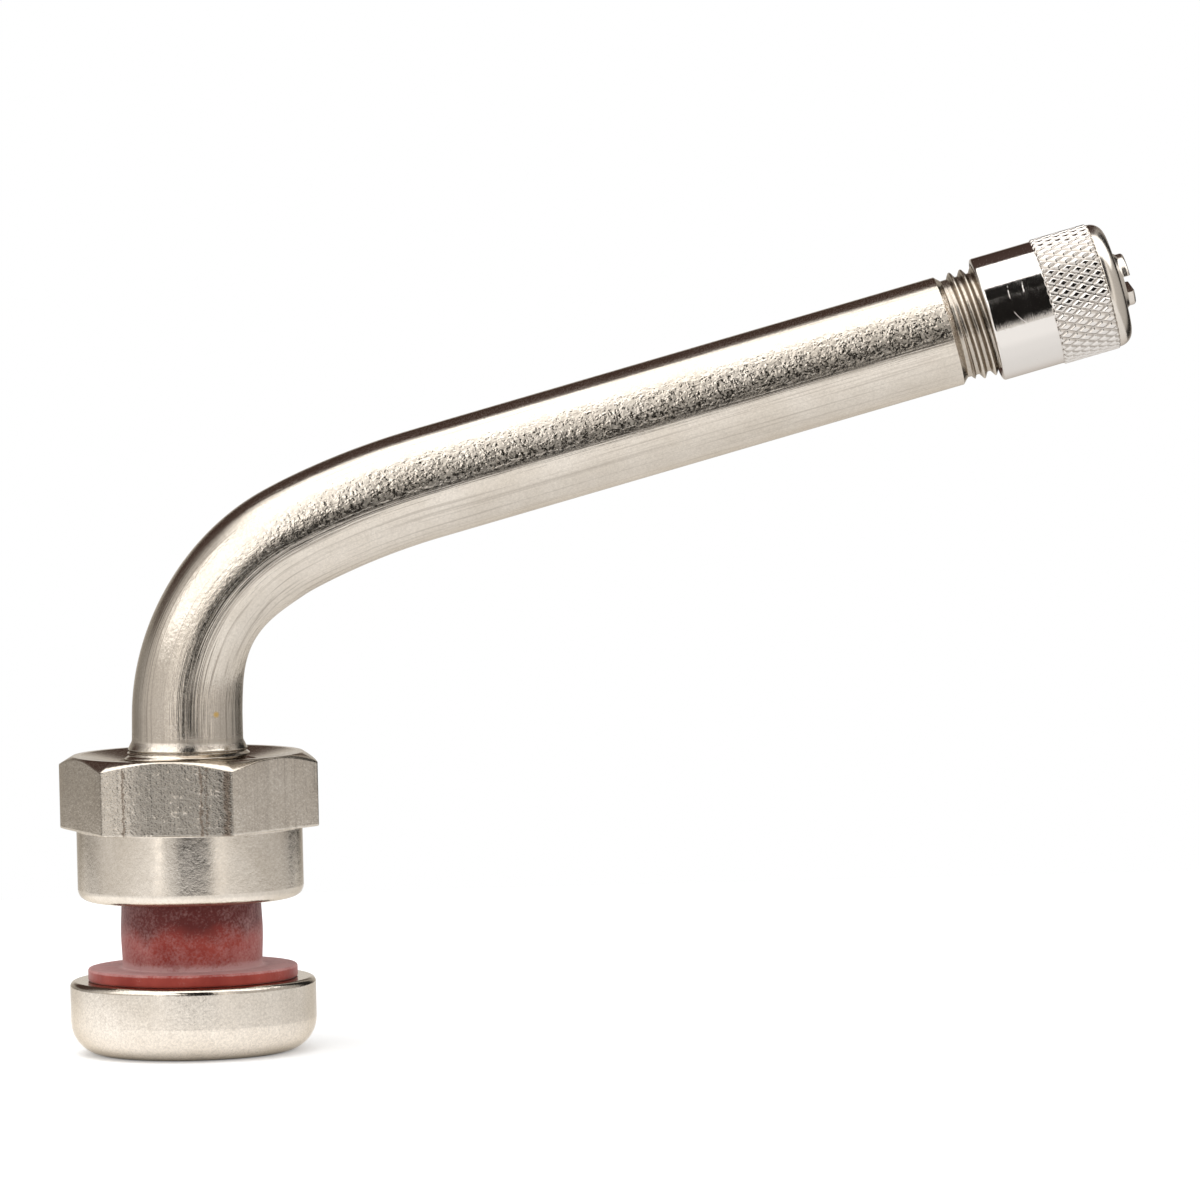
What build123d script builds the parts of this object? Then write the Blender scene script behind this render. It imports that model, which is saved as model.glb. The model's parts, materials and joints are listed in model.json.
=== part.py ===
from build123d import *
from math import cos, radians, sin, tan
import os

os.makedirs("parts", exist_ok=True)

# Bent clamp-in tyre valve for a 9.7 mm rim hole. Sizes in millimetres.
# The origin is the centre of the rim hole, on the rim's inner face, which the
# grommet's flange seals. +Z runs outwards through the hole, and the tube bends
# over towards +X. Fine threads are drawn as plain cylinders at their crest
# diameter, each bore over one larger by the thread clearance.

# Base of the stem
base_beyond_flats = 0.5
base_height = 5.1
base_bottom_fillet = 2.3
base_top_fillet = 0.4
neck_over_tube = 0.1

# Grommet
base_lip_width = 1.25
grommet_flange_thickness = 0.85
grommet_edge_fillet = 0.15
sleeve_wall = 0.395
sleeve_bulge = 0.08
rim_gap = 4.7

# Clamp nut, a hexagon with a hollow skirt
nut_across_flats = 16.0
nut_hexagon_height = 5.1
nut_turn = -10.5
nut_crown_beyond_flats = 0.15
nut_crown_angle = 30.0
nut_rim_width = 0.65
nut_dish_depth = 0.5
nut_lead_in = 0.4
skirt_inset = 0.2
skirt_height = 4.9
skirt_edge_fillet = 0.8
skirt_bore_depth = 4.9
skirt_bore_gap = 0.325

# Thread that the nut runs on
stem_thread_over_neck = 0.45
stem_thread_length = 7.9
thread_above_nut = 0.15

# Bent tube
tube_diameter = 7.7
air_bore_diameter = 2.8
air_bore_mouth_diameter = 4.2
shoulder_cone_length = 0.65
straight_below_bend = 1.85
tight_bend_radius = 13.45
tight_bend_angle = 63.5
gentle_bend_radius = 50.2
gentle_bend_angle = 11.5
tip_run = 37.9

# Tip thread, cut on the tube's own end
tip_thread_length = 9.5
tip_groove_depth = 0.4
tip_groove_width = 0.3
tip_mouth_chamfer = 0.45
tube_end_chamfer = 0.35

# Cap
cap_wall = 0.45
cap_thread_showing = 2.35
cap_end_wall = 1.3
cap_corner_radius = 1.0
cap_mouth_chamfer = 0.35
knurl_height = 0.1
knurl_from_mouth = 4.35
knurl_length = 4.05
knurl_edge_chamfer = 0.1
stub_diameter = 3.65
stub_height = 0.85
stub_edge_chamfer = 0.15
stub_ring_width = 0.45
stub_ring_depth = 0.3
slot_width = 1.1
slot_turn = 9.5
cap_gasket_thickness = 1.0
cap_gasket_edge_chamfer = 0.2

# Chamber inside the tip, depths counted from the mouth
thread_run_out = 0.1
chamber_step_length = 0.4
chamber_diameter = 4.6
seat_depth = 9.0
seat_length = 2.0
seat_narrowing = 0.35
chamber_end_length = 0.5

# Core plug
plug_diameter = 5.2
plug_top_depth = 3.4
plug_length = 3.5
plug_edge_chamfer = 0.25
ear_height = 1.5
ear_step = 0.45
ear_thickness = 1.9
socket_wall = 0.5
socket_length = 1.15
socket_lip = 0.4

# Core barrel and its taper gasket
barrel_flange_thickness = 0.5
barrel_neck_wall = 0.4
barrel_seat_wall = 0.35
barrel_bore_diameter = 2.6
barrel_below_gasket = 5.75
barrel_floor_thickness = 0.9
barrel_gasket_length = 2.5
gasket_above_seat = 0.65

# Core pin, its spring, cup and seal
pin_diameter = 1.0
pin_tip_depth = 0.45
pin_tip_chamfer = 0.12
pin_collar_below_flange = 0.8
pin_collar_thickness = 0.6
pin_head_width = 0.45
pin_head_thickness = 0.5
spring_wire_diameter = 0.3
spring_turns = 7
cup_wall = 0.25
cup_floor = 0.45
cup_depth = 0.7
cup_seal_thickness = 0.95

# Clearances, each on the radius or along the axis
thread_clearance = 0.05
fit_clearance = 0.03
grommet_clearance = 0.03
barrel_clearance = 0.1
flange_clearance = 0.05
collar_clearance = 0.15
spring_clearance = 0.1
cup_clearance = 0.3
air_gap = 0.3
room_below_pin = 2.0

# Diameters that follow from what they fit
neck_diameter = tube_diameter + 2 * neck_over_tube
stem_thread_diameter = neck_diameter + 2 * stem_thread_over_neck
tip_thread_diameter = tube_diameter
base_diameter = nut_across_flats + 2 * base_beyond_flats
grommet_flange_diameter = base_diameter - 2 * base_lip_width
sleeve_diameter = stem_thread_diameter + 2 * (grommet_clearance + sleeve_wall)
skirt_diameter = nut_across_flats - 2 * skirt_inset
skirt_bore_diameter = sleeve_diameter + 2 * skirt_bore_gap
nut_crown_diameter = nut_across_flats + 2 * nut_crown_beyond_flats
nut_bore_radius = stem_thread_diameter / 2 + thread_clearance
tip_groove_diameter = tip_thread_diameter - 2 * tip_groove_depth
cap_bore_radius = tip_thread_diameter / 2 + thread_clearance
cap_diameter = 2 * (cap_bore_radius + cap_wall)
seat_small_diameter = chamber_diameter - 2 * seat_narrowing
plug_bore_diameter = pin_diameter + 2 * air_gap
ear_circle_diameter = plug_diameter - 2 * ear_step
socket_diameter = plug_diameter - 2 * socket_wall
barrel_flange_diameter = socket_diameter - 2 * flange_clearance
barrel_neck_diameter = barrel_bore_diameter + 2 * barrel_neck_wall
barrel_shoulder_diameter = chamber_diameter - 2 * barrel_clearance
barrel_gasket_seat_diameter = barrel_bore_diameter + 2 * barrel_seat_wall
barrel_diameter = seat_small_diameter - 2 * barrel_clearance
barrel_port_diameter = pin_diameter + 2 * air_gap
pin_collar_diameter = barrel_bore_diameter - 2 * collar_clearance
pin_head_diameter = pin_diameter + 2 * pin_head_width
spring_diameter = barrel_bore_diameter - 2 * spring_clearance
cup_diameter = seat_small_diameter - 2 * cup_clearance

# Heights up the base's axis
base_top = -grommet_flange_thickness
base_bottom = base_top - base_height
nut_bottom = rim_gap
hexagon_bottom = nut_bottom + skirt_height
nut_top = hexagon_bottom + nut_hexagon_height
sleeve_top = nut_bottom + skirt_bore_depth
stem_thread_top = nut_top + thread_above_nut
stem_thread_bottom = stem_thread_top - stem_thread_length
neck_top = stem_thread_bottom - stem_thread_over_neck
tube_start = stem_thread_top + shoulder_cone_length
bend_start = tube_start + straight_below_bend

# Depths along the core, counted from the mouth
plug_bottom = plug_top_depth + plug_length
socket_depth = plug_bottom - socket_length
chamber_thread_depth = plug_bottom + thread_run_out
flange_top = socket_depth + fit_clearance
flange_bottom = flange_top + barrel_flange_thickness
shoulder_top = plug_bottom + fit_clearance
gasket_top = seat_depth - gasket_above_seat
gasket_bottom = gasket_top + barrel_gasket_length
barrel_bottom = gasket_bottom + barrel_below_gasket
barrel_floor = barrel_bottom - barrel_floor_thickness
collar_top = flange_top + pin_collar_below_flange
collar_bottom = collar_top + pin_collar_thickness
cup_inside = barrel_bottom + cup_seal_thickness
cup_top = cup_inside - cup_depth
cup_bottom = cup_inside + cup_floor
pin_end = cup_bottom + pin_head_thickness
chamber_depth = pin_end + room_below_pin


def rims(piece, diameter):
    """Circular edges of one diameter on a piece."""
    circles = piece.edges().filter_by(GeomType.CIRCLE)
    return circles.filter_by(lambda edge: abs(edge.radius - diameter / 2) < 1e-6)


def on_bend(centre, radius, angle):
    """Point of the tube's middle line after it has turned by angle about centre."""
    return centre + Vector(-cos(radians(angle)), 0, sin(radians(angle))) * radius


# Middle line of the tube: up, a tight bend, a gentle bend, then straight to the tip
bend_angle = tight_bend_angle + gentle_bend_angle
tight_centre = Vector(tight_bend_radius, 0, bend_start)
gentle_centre = on_bend(tight_centre, tight_bend_radius - gentle_bend_radius, tight_bend_angle)
bend_end = on_bend(gentle_centre, gentle_bend_radius, bend_angle)
outwards = Vector(sin(radians(bend_angle)), 0, cos(radians(bend_angle)))
tube_end = bend_end + outwards * tip_run
mouth = tube_end + outwards * tip_thread_length
cap_mouth = tube_end + outwards * cap_thread_showing

tip_axis = Axis(mouth, outwards)
across = Vector(0, -1, 0)
tube_end_section = Plane(origin=tube_end, x_dir=outwards, z_dir=across)
cap_section = Plane(origin=cap_mouth, x_dir=outwards, z_dir=across)
core_section = Plane(origin=mouth, x_dir=outwards * -1, z_dir=across)

with BuildLine(Plane.XZ) as middle_line:
    Line((0, base_bottom), (0, bend_start))
    CenterArc((tight_centre.X, tight_centre.Z), tight_bend_radius, 180, -tight_bend_angle)
    CenterArc(
        (gentle_centre.X, gentle_centre.Z),
        gentle_bend_radius,
        180 - tight_bend_angle,
        -gentle_bend_angle,
    )
    Line((bend_end.X, bend_end.Z), (tube_end.X, tube_end.Z))

# Stem: base, neck, nut thread, bent tube and threaded tip, turned and bent in one piece
with BuildPart() as valve_stem:
    with BuildSketch(Plane.XZ):
        with BuildLine():
            Polyline(
                (0, base_bottom),
                (base_diameter / 2, base_bottom),
                (base_diameter / 2, base_top),
                (neck_diameter / 2, base_top),
                (neck_diameter / 2, neck_top),
                (stem_thread_diameter / 2, stem_thread_bottom),
                (stem_thread_diameter / 2, stem_thread_top),
                (tube_diameter / 2, tube_start),
                (0, tube_start),
                close=True,
            )
        make_face()
    revolve(axis=Axis.Z)
    fillet(rims(valve_stem, base_diameter).sort_by(Axis.Z)[0], radius=base_bottom_fillet)
    fillet(rims(valve_stem, base_diameter).sort_by(Axis.Z)[-1], radius=base_top_fillet)

    with BuildSketch(Plane.XY.offset(base_bottom)):
        Circle(tube_diameter / 2)
    sweep(path=middle_line.wire())

    with BuildSketch(tube_end_section):
        with BuildLine():
            thread_start = tip_groove_width + tube_end_chamfer
            Polyline(
                (-tube_end_chamfer, 0),
                (-tube_end_chamfer, tip_groove_diameter / 2),
                (tip_groove_width, tip_groove_diameter / 2),
                (thread_start, tip_thread_diameter / 2),
                (tip_thread_length - tip_mouth_chamfer, tip_thread_diameter / 2),
                (tip_thread_length, tip_thread_diameter / 2 - tip_mouth_chamfer),
                (tip_thread_length, 0),
                close=True,
            )
        make_face()
    revolve(axis=tip_axis)
    chamfer(rims(valve_stem, tube_diameter).sort_by_distance(tube_end)[0], length=tube_end_chamfer)

    with BuildSketch(Plane.XY.offset(base_bottom)):
        Circle(air_bore_diameter / 2)
    sweep(path=middle_line.wire(), mode=Mode.SUBTRACT)
    with BuildSketch(Plane.XZ):
        with BuildLine():
            mouth_top = base_bottom + (air_bore_mouth_diameter - air_bore_diameter) / 2
            Polyline(
                (0, base_bottom),
                (air_bore_mouth_diameter / 2, base_bottom),
                (air_bore_diameter / 2, mouth_top),
                (0, mouth_top),
                close=True,
            )
        make_face()
    revolve(axis=Axis.Z, mode=Mode.SUBTRACT)

    with BuildSketch(core_section):
        with BuildLine():
            thread_bore_radius = plug_diameter / 2 + thread_clearance
            Polyline(
                (0, 0),
                (0, thread_bore_radius + plug_edge_chamfer),
                (plug_edge_chamfer, thread_bore_radius),
                (chamber_thread_depth, thread_bore_radius),
                (chamber_thread_depth + chamber_step_length, chamber_diameter / 2),
                (seat_depth, chamber_diameter / 2),
                (seat_depth + seat_length, seat_small_diameter / 2),
                (chamber_depth, seat_small_diameter / 2),
                (chamber_depth + chamber_end_length, air_bore_diameter / 2),
                (chamber_depth + chamber_end_length, 0),
                close=True,
            )
        make_face()
    revolve(axis=tip_axis, mode=Mode.SUBTRACT)
valve_stem.part.label = "valve_stem"

# Grommet: a thin flange under the rim and a sleeve up into the nut's skirt
with BuildPart() as grommet:
    with BuildSketch(Plane.XZ):
        with BuildLine():
            bore_radius = neck_diameter / 2 + grommet_clearance
            stretched_radius = stem_thread_diameter / 2 + grommet_clearance
            sleeve_radius = sleeve_diameter / 2
            Polyline(
                (sleeve_radius, nut_bottom),
                (sleeve_radius, sleeve_top),
                (stretched_radius, sleeve_top),
                (stretched_radius, stem_thread_bottom - grommet_clearance),
                (bore_radius, neck_top - grommet_clearance),
                (bore_radius, base_top),
                (grommet_flange_diameter / 2, base_top),
                (grommet_flange_diameter / 2, 0),
                (sleeve_radius, 0),
            )
            ThreePointArc(
                (sleeve_radius, 0),
                (sleeve_radius + sleeve_bulge, nut_bottom / 2),
                (sleeve_radius, nut_bottom),
            )
        make_face()
    revolve(axis=Axis.Z)
    fillet(rims(grommet, grommet_flange_diameter), radius=grommet_edge_fillet)
grommet.part.label = "grommet"

# Clamp nut: crowned hexagon and cylindrical skirt, turned from one hexagonal bar
with BuildPart() as clamp_nut:
    with BuildSketch(Plane.XY.offset(hexagon_bottom)):
        RegularPolygon(nut_across_flats / 2, 6, major_radius=False, rotation=nut_turn)
    extrude(amount=nut_hexagon_height)
    with BuildSketch(Plane.XZ):
        with BuildLine():
            beyond_corners = nut_across_flats
            crown_radius = nut_crown_diameter / 2
            crown_fall = (beyond_corners - crown_radius) * tan(radians(nut_crown_angle))
            Polyline(
                (crown_radius, nut_top),
                (beyond_corners, nut_top - crown_fall),
                (beyond_corners, nut_top),
                close=True,
            )
        make_face()
    revolve(axis=Axis.Z, mode=Mode.SUBTRACT)
    with BuildSketch(Plane.XY.offset(nut_bottom)):
        Circle(skirt_diameter / 2)
    extrude(amount=skirt_height)
    fillet(rims(clamp_nut, skirt_diameter).sort_by(Axis.Z)[0], radius=skirt_edge_fillet)
    with BuildSketch(Plane.XZ):
        with BuildLine():
            dish_floor = nut_top - nut_dish_depth
            Polyline(
                (0, nut_bottom),
                (skirt_bore_diameter / 2, nut_bottom),
                (skirt_bore_diameter / 2, sleeve_top),
                (nut_bore_radius, sleeve_top),
                (nut_bore_radius, dish_floor - nut_lead_in),
                (nut_bore_radius + nut_lead_in, dish_floor),
                (nut_crown_diameter / 2 - nut_rim_width, nut_top),
                (0, nut_top),
                close=True,
            )
        make_face()
    revolve(axis=Axis.Z, mode=Mode.SUBTRACT)
clamp_nut.part.label = "clamp_nut"

# Cap: threaded shell with a knurled band, its end carrying a slotted stub
cap_bore_depth = tip_thread_length - cap_thread_showing + cap_gasket_thickness
cap_length = cap_bore_depth + cap_end_wall
with BuildPart() as valve_cap:
    with BuildSketch(cap_section):
        with BuildLine():
            knurl_end = knurl_from_mouth + knurl_length
            stub_radius = stub_diameter / 2
            Polyline(
                (cap_bore_depth, 0),
                (cap_bore_depth, cap_bore_radius),
                (0, cap_bore_radius),
                (0, cap_diameter / 2 - cap_mouth_chamfer),
                (cap_mouth_chamfer, cap_diameter / 2),
                (knurl_from_mouth, cap_diameter / 2),
                (knurl_from_mouth + knurl_edge_chamfer, cap_diameter / 2 + knurl_height),
                (knurl_end - knurl_edge_chamfer, cap_diameter / 2 + knurl_height),
                (knurl_end, cap_diameter / 2),
                (cap_length - cap_corner_radius, cap_diameter / 2),
            )
            CenterArc(
                (cap_length - cap_corner_radius, cap_diameter / 2 - cap_corner_radius),
                cap_corner_radius,
                90,
                -90,
            )
            Polyline(
                (cap_length, cap_diameter / 2 - cap_corner_radius),
                (cap_length, stub_radius + stub_ring_width),
                (cap_length - stub_ring_depth, stub_radius),
                (cap_length + stub_height - stub_edge_chamfer, stub_radius),
                (cap_length + stub_height, stub_radius - stub_edge_chamfer),
                (cap_length + stub_height, 0),
                (cap_bore_depth, 0),
            )
        make_face()
    revolve(axis=tip_axis)
    slot_plane = Plane(origin=cap_mouth + outwards * cap_length, x_dir=across, z_dir=outwards)
    with BuildSketch(slot_plane):
        Rectangle(stub_diameter * 2, slot_width, rotation=slot_turn)
        Circle(stub_radius + stub_ring_width, mode=Mode.INTERSECT)
    extrude(amount=stub_height, mode=Mode.SUBTRACT)
valve_cap.part.label = "valve_cap"

# Rubber disc in the cap that seals on the stem's mouth
with BuildPart() as cap_gasket:
    with BuildSketch(Plane(origin=mouth, x_dir=across, z_dir=outwards)):
        Circle(tip_thread_diameter / 2 - fit_clearance)
    extrude(amount=cap_gasket_thickness)
    chamfer(cap_gasket.edges(), length=cap_gasket_edge_chamfer)
cap_gasket.part.label = "cap_gasket"

# Core plug: threaded ring with two ears for the key and a socket for the barrel
with BuildPart() as core_plug:
    with BuildSketch(core_section):
        with BuildLine():
            lip_radius = barrel_neck_diameter / 2 + fit_clearance
            Polyline(
                (plug_top_depth - ear_height, plug_bore_diameter / 2),
                (plug_top_depth - ear_height, ear_circle_diameter / 2),
                (plug_top_depth, ear_circle_diameter / 2),
                (plug_top_depth, plug_diameter / 2 - plug_edge_chamfer),
                (plug_top_depth + plug_edge_chamfer, plug_diameter / 2),
                (plug_bottom - plug_edge_chamfer, plug_diameter / 2),
                (plug_bottom, plug_diameter / 2 - plug_edge_chamfer),
                (plug_bottom, lip_radius),
                (plug_bottom - socket_lip, lip_radius),
                (plug_bottom - socket_lip, socket_diameter / 2),
                (socket_depth, socket_diameter / 2),
                (socket_depth, plug_bore_diameter / 2),
                close=True,
            )
        make_face()
    revolve(axis=tip_axis)
    ear_plane = Plane(core_section.from_local_coords(Vector(plug_top_depth, 0, 0)), across, outwards)
    with BuildSketch(ear_plane):
        Circle(ear_circle_diameter)
        Rectangle(ear_circle_diameter * 2, ear_thickness, mode=Mode.SUBTRACT)
    extrude(amount=ear_height, mode=Mode.SUBTRACT)
core_plug.part.label = "core_plug"

# Core barrel: flange held in the plug, shoulder, gasket seat and lower tube
with BuildPart() as core_barrel:
    with BuildSketch(core_section):
        with BuildLine():
            Polyline(
                (flange_top, barrel_bore_diameter / 2),
                (flange_top, barrel_flange_diameter / 2),
                (flange_bottom, barrel_flange_diameter / 2),
                (flange_bottom, barrel_neck_diameter / 2),
                (shoulder_top, barrel_neck_diameter / 2),
                (shoulder_top, barrel_shoulder_diameter / 2),
                (gasket_top, barrel_shoulder_diameter / 2),
                (gasket_top, barrel_gasket_seat_diameter / 2),
                (gasket_bottom, barrel_gasket_seat_diameter / 2),
                (gasket_bottom, barrel_diameter / 2),
                (barrel_bottom, barrel_diameter / 2),
                (barrel_bottom, barrel_port_diameter / 2),
                (barrel_floor, barrel_port_diameter / 2),
                (barrel_floor, barrel_bore_diameter / 2),
                close=True,
            )
        make_face()
    revolve(axis=tip_axis)
core_barrel.part.label = "core_barrel"

# Taper gasket between the barrel and the seat in the chamber
with BuildPart() as core_barrel_gasket:
    with BuildSketch(core_section):
        with BuildLine():
            ring_bore = barrel_gasket_seat_diameter / 2 + fit_clearance
            ring_top = chamber_diameter / 2 - fit_clearance
            taper = seat_narrowing / seat_length
            ring_end = gasket_bottom - fit_clearance
            Polyline(
                (gasket_top + fit_clearance, ring_bore),
                (gasket_top + fit_clearance, ring_top),
                (seat_depth, ring_top),
                (ring_end, ring_top - (ring_end - seat_depth) * taper),
                (ring_end, ring_bore),
                close=True,
            )
        make_face()
    revolve(axis=tip_axis)
core_barrel_gasket.part.label = "core_barrel_gasket"

# Core pin: runs the length of the core, with a collar for the spring and a riveted head
with BuildPart() as core_pin:
    with BuildSketch(core_section):
        with BuildLine():
            Polyline(
                (pin_tip_depth, 0),
                (pin_tip_depth, pin_diameter / 2 - pin_tip_chamfer),
                (pin_tip_depth + pin_tip_chamfer, pin_diameter / 2),
                (collar_top, pin_diameter / 2),
                (collar_top, pin_collar_diameter / 2),
                (collar_bottom, pin_collar_diameter / 2),
                (collar_bottom, pin_diameter / 2),
                (cup_bottom, pin_diameter / 2),
                (cup_bottom, pin_head_diameter / 2),
                (pin_end, pin_head_diameter / 2),
                (pin_end, 0),
                close=True,
            )
        make_face()
    revolve(axis=tip_axis)
core_pin.part.label = "core_pin"

# Spring round the pin, from the barrel's floor up to the pin's collar
wire_radius = spring_wire_diameter / 2
spring_top = collar_bottom + wire_radius + fit_clearance
spring_bottom = barrel_floor - wire_radius - fit_clearance
coil_radius = spring_diameter / 2 - wire_radius
spring_foot = core_section.from_local_coords(Vector(spring_bottom, 0, 0))
with BuildPart() as core_spring:
    with BuildLine() as coil:
        Helix(
            pitch=(spring_bottom - spring_top) / spring_turns,
            height=spring_bottom - spring_top,
            radius=coil_radius,
            center=spring_foot,
            direction=outwards,
        )
    with BuildSketch(Plane(origin=coil.wire() @ 0, z_dir=coil.wire() % 0)):
        RegularPolygon(wire_radius, 6)
    sweep(path=coil.wire(), is_frenet=True)
core_spring.part.label = "core_spring"

# Cup on the pin's foot, and the seal it presses on the barrel
with BuildPart() as core_cup:
    with BuildSketch(core_section):
        with BuildLine():
            pin_hole = pin_diameter / 2 + fit_clearance
            Polyline(
                (cup_top, cup_diameter / 2 - cup_wall),
                (cup_top, cup_diameter / 2),
                (cup_bottom, cup_diameter / 2),
                (cup_bottom, pin_hole),
                (cup_inside, pin_hole),
                (cup_inside, cup_diameter / 2 - cup_wall),
                close=True,
            )
        make_face()
    revolve(axis=tip_axis)
core_cup.part.label = "core_cup"

with BuildPart() as core_cup_seal:
    with BuildSketch(core_section):
        with BuildLine():
            seal_radius = cup_diameter / 2 - cup_wall - fit_clearance
            Polyline(
                (barrel_bottom, pin_hole),
                (barrel_bottom, seal_radius),
                (cup_inside, seal_radius),
                (cup_inside, pin_hole),
                close=True,
            )
        make_face()
    revolve(axis=tip_axis)
core_cup_seal.part.label = "core_cup_seal"

export_step(valve_stem.part, "parts/valve_stem.step")
export_step(grommet.part, "parts/grommet.step")
export_step(clamp_nut.part, "parts/clamp_nut.step")
export_step(valve_cap.part, "parts/valve_cap.step")
export_step(cap_gasket.part, "parts/cap_gasket.step")
export_step(core_plug.part, "parts/core_plug.step")
export_step(core_barrel.part, "parts/core_barrel.step")
export_step(core_barrel_gasket.part, "parts/core_barrel_gasket.step")
export_step(core_pin.part, "parts/core_pin.step")
export_step(core_spring.part, "parts/core_spring.step")
export_step(core_cup.part, "parts/core_cup.step")
export_step(core_cup_seal.part, "parts/core_cup_seal.step")
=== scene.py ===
import json
import math

import bmesh
import bpy
from mathutils import Matrix, Vector, noise


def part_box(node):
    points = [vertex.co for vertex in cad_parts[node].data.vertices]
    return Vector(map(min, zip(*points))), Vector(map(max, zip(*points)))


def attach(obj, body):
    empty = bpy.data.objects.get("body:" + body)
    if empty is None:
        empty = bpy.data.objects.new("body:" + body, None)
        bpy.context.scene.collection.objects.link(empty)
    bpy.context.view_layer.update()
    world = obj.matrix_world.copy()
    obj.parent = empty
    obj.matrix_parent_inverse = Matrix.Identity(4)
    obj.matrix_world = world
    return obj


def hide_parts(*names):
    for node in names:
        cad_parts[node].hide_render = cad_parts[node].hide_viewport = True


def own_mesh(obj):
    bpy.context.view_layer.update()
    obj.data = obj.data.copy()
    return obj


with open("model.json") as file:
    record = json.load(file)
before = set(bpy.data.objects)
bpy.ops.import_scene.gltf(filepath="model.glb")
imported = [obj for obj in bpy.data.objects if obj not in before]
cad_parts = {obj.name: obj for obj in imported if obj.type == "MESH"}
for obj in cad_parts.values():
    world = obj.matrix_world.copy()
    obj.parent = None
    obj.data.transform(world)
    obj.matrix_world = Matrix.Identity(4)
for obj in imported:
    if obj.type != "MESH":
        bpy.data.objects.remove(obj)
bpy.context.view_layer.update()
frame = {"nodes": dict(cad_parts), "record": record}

# Bent tyre valve with its red grommet, clamp nut and knurled cap. Sizes are in millimetres, in
# the trees of nodes too, and MM makes metres of them. Turned pieces are made upright round Z
# first: the stem's height then runs on along the middle line of its bent tube.
MM = 0.001
TURN = 2 * math.pi

# What the frame gives
tip = next(mount for mount in frame["record"]["mounts"] if mount["name"] == "tip_thread")
MOUTH = Vector(tip["pos_m"]) / MM
OUTWARDS = Vector(tip["axis"]).normalized()
TIP_THREAD_LENGTH = tip["dims"]["length_mm"]
BASE_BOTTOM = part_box("valve_stem")[0].z / MM
BASE_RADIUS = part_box("valve_stem")[1].y / MM
SLEEVE_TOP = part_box("grommet")[1].z / MM
FLANGE_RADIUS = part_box("grommet")[1].y / MM
BASE_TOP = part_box("grommet")[0].z / MM
NUT_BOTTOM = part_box("clamp_nut")[0].z / MM
NUT_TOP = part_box("clamp_nut")[1].z / MM

# Stem
BASE_BOTTOM_FILLET = 2.3
BASE_TOP_FILLET = 0.4
AIR_BORE_RADIUS = 1.4
AIR_BORE_MOUTH_RADIUS = 2.1
NECK_RADIUS = 3.95
NECK_TOP = 6.5
STEM_THREAD_RADIUS = 4.4
STEM_THREAD_BOTTOM = 6.95
STEM_THREAD_TOP = 14.85
STEM_THREAD_PITCH = 1.0
STEM_THREAD_DEPTH = 0.42
FOOT_GROOVE_RADIUS = 4.08
FOOT_RING_RADIUS = 4.13
FOOT_RING_BOTTOM = 14.95
FOOT_RING_TOP = 15.1
TUBE_RADIUS = 3.85
TUBE_START = 15.5
BEND_START = 17.35
TIGHT_BEND_RADIUS = 13.45
TIGHT_BEND_ANGLE = math.radians(63.5)
GENTLE_BEND_RADIUS = 50.2
GENTLE_BEND_ANGLE = math.radians(11.5)
TIP_RUN = 37.9
TIGHT_BEND_END = BEND_START + TIGHT_BEND_RADIUS * TIGHT_BEND_ANGLE
GENTLE_BEND_END = TIGHT_BEND_END + GENTLE_BEND_RADIUS * GENTLE_BEND_ANGLE
TUBE_END = GENTLE_BEND_END + TIP_RUN
MOUTH_HEIGHT = TUBE_END + TIP_THREAD_LENGTH
OUTER_THINNING = 0.18
INNER_THINNING = 0.42
MIDDLE_LINE_STEP = 0.25
OUTER_BEND_ROWS = 0.35
BORE_BEND_ROWS = 0.6

# Threaded tip and the chamber for the core, depths counted from the mouth
TIP_THREAD_PITCH = 0.794
TIP_THREAD_DEPTH = 0.4
TIP_CREST_PAST_TUBE_END = 0.38
TIP_GROOVE_RADIUS = 3.45
TIP_GROOVE_WIDTH = 0.3
TIP_MOUTH_CHAMFER = 0.45
TUBE_END_CHAMFER = 0.35
CORE_THREAD_RADIUS = 2.65
CORE_THREAD_DEPTH = 0.22
CORE_THREAD_PITCH = 0.705
CORE_THREAD_SHOWING = 3.5
CORE_THREAD_END = 7.0
CHAMBER_RADIUS = 2.3
CHAMBER_TOP = 7.4
SEAT_DEPTH = 9.0
SEAT_END = 11.0
SEAT_SMALL_RADIUS = 1.95
CHAMBER_END = 20.5

# Nut
HEX_HALF_WIDTH = 8.0
HEX_BOTTOM = SLEEVE_TOP
HEX_TURN = -10.5
COARSE_FLAT_TURN = HEX_TURN + 270
HEX_CORNER_ROUNDING = 0.35
HEX_FACE_FALL = 0.1
CROWN_RADIUS = 7.95
CROWN_SLOPE = math.tan(math.radians(30))
SKIRT_RADIUS = 7.8
SKIRT_EDGE_FILLET = 0.8
SKIRT_BORE_RADIUS = 5.15
NUT_THREAD_RADIUS = 4.45
NUT_THREAD_DEPTH = 0.3
DISH_RADIUS = 7.5
DISH_DEPTH = 0.5
NUT_LEAD_IN = 0.4
FINE_EDGE = 0.09

# Grommet
SLEEVE_RADIUS = 4.825
SLEEVE_BULGE = 0.08
FLANGE_EDGE_FILLET = 0.16
GROMMET_BORE_RADIUS = 3.98
GROMMET_STRETCHED_RADIUS = 4.43
GROMMET_WAVINESS = 0.05
GROMMET_WAVE_LENGTH = 1 / 0.35

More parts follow.
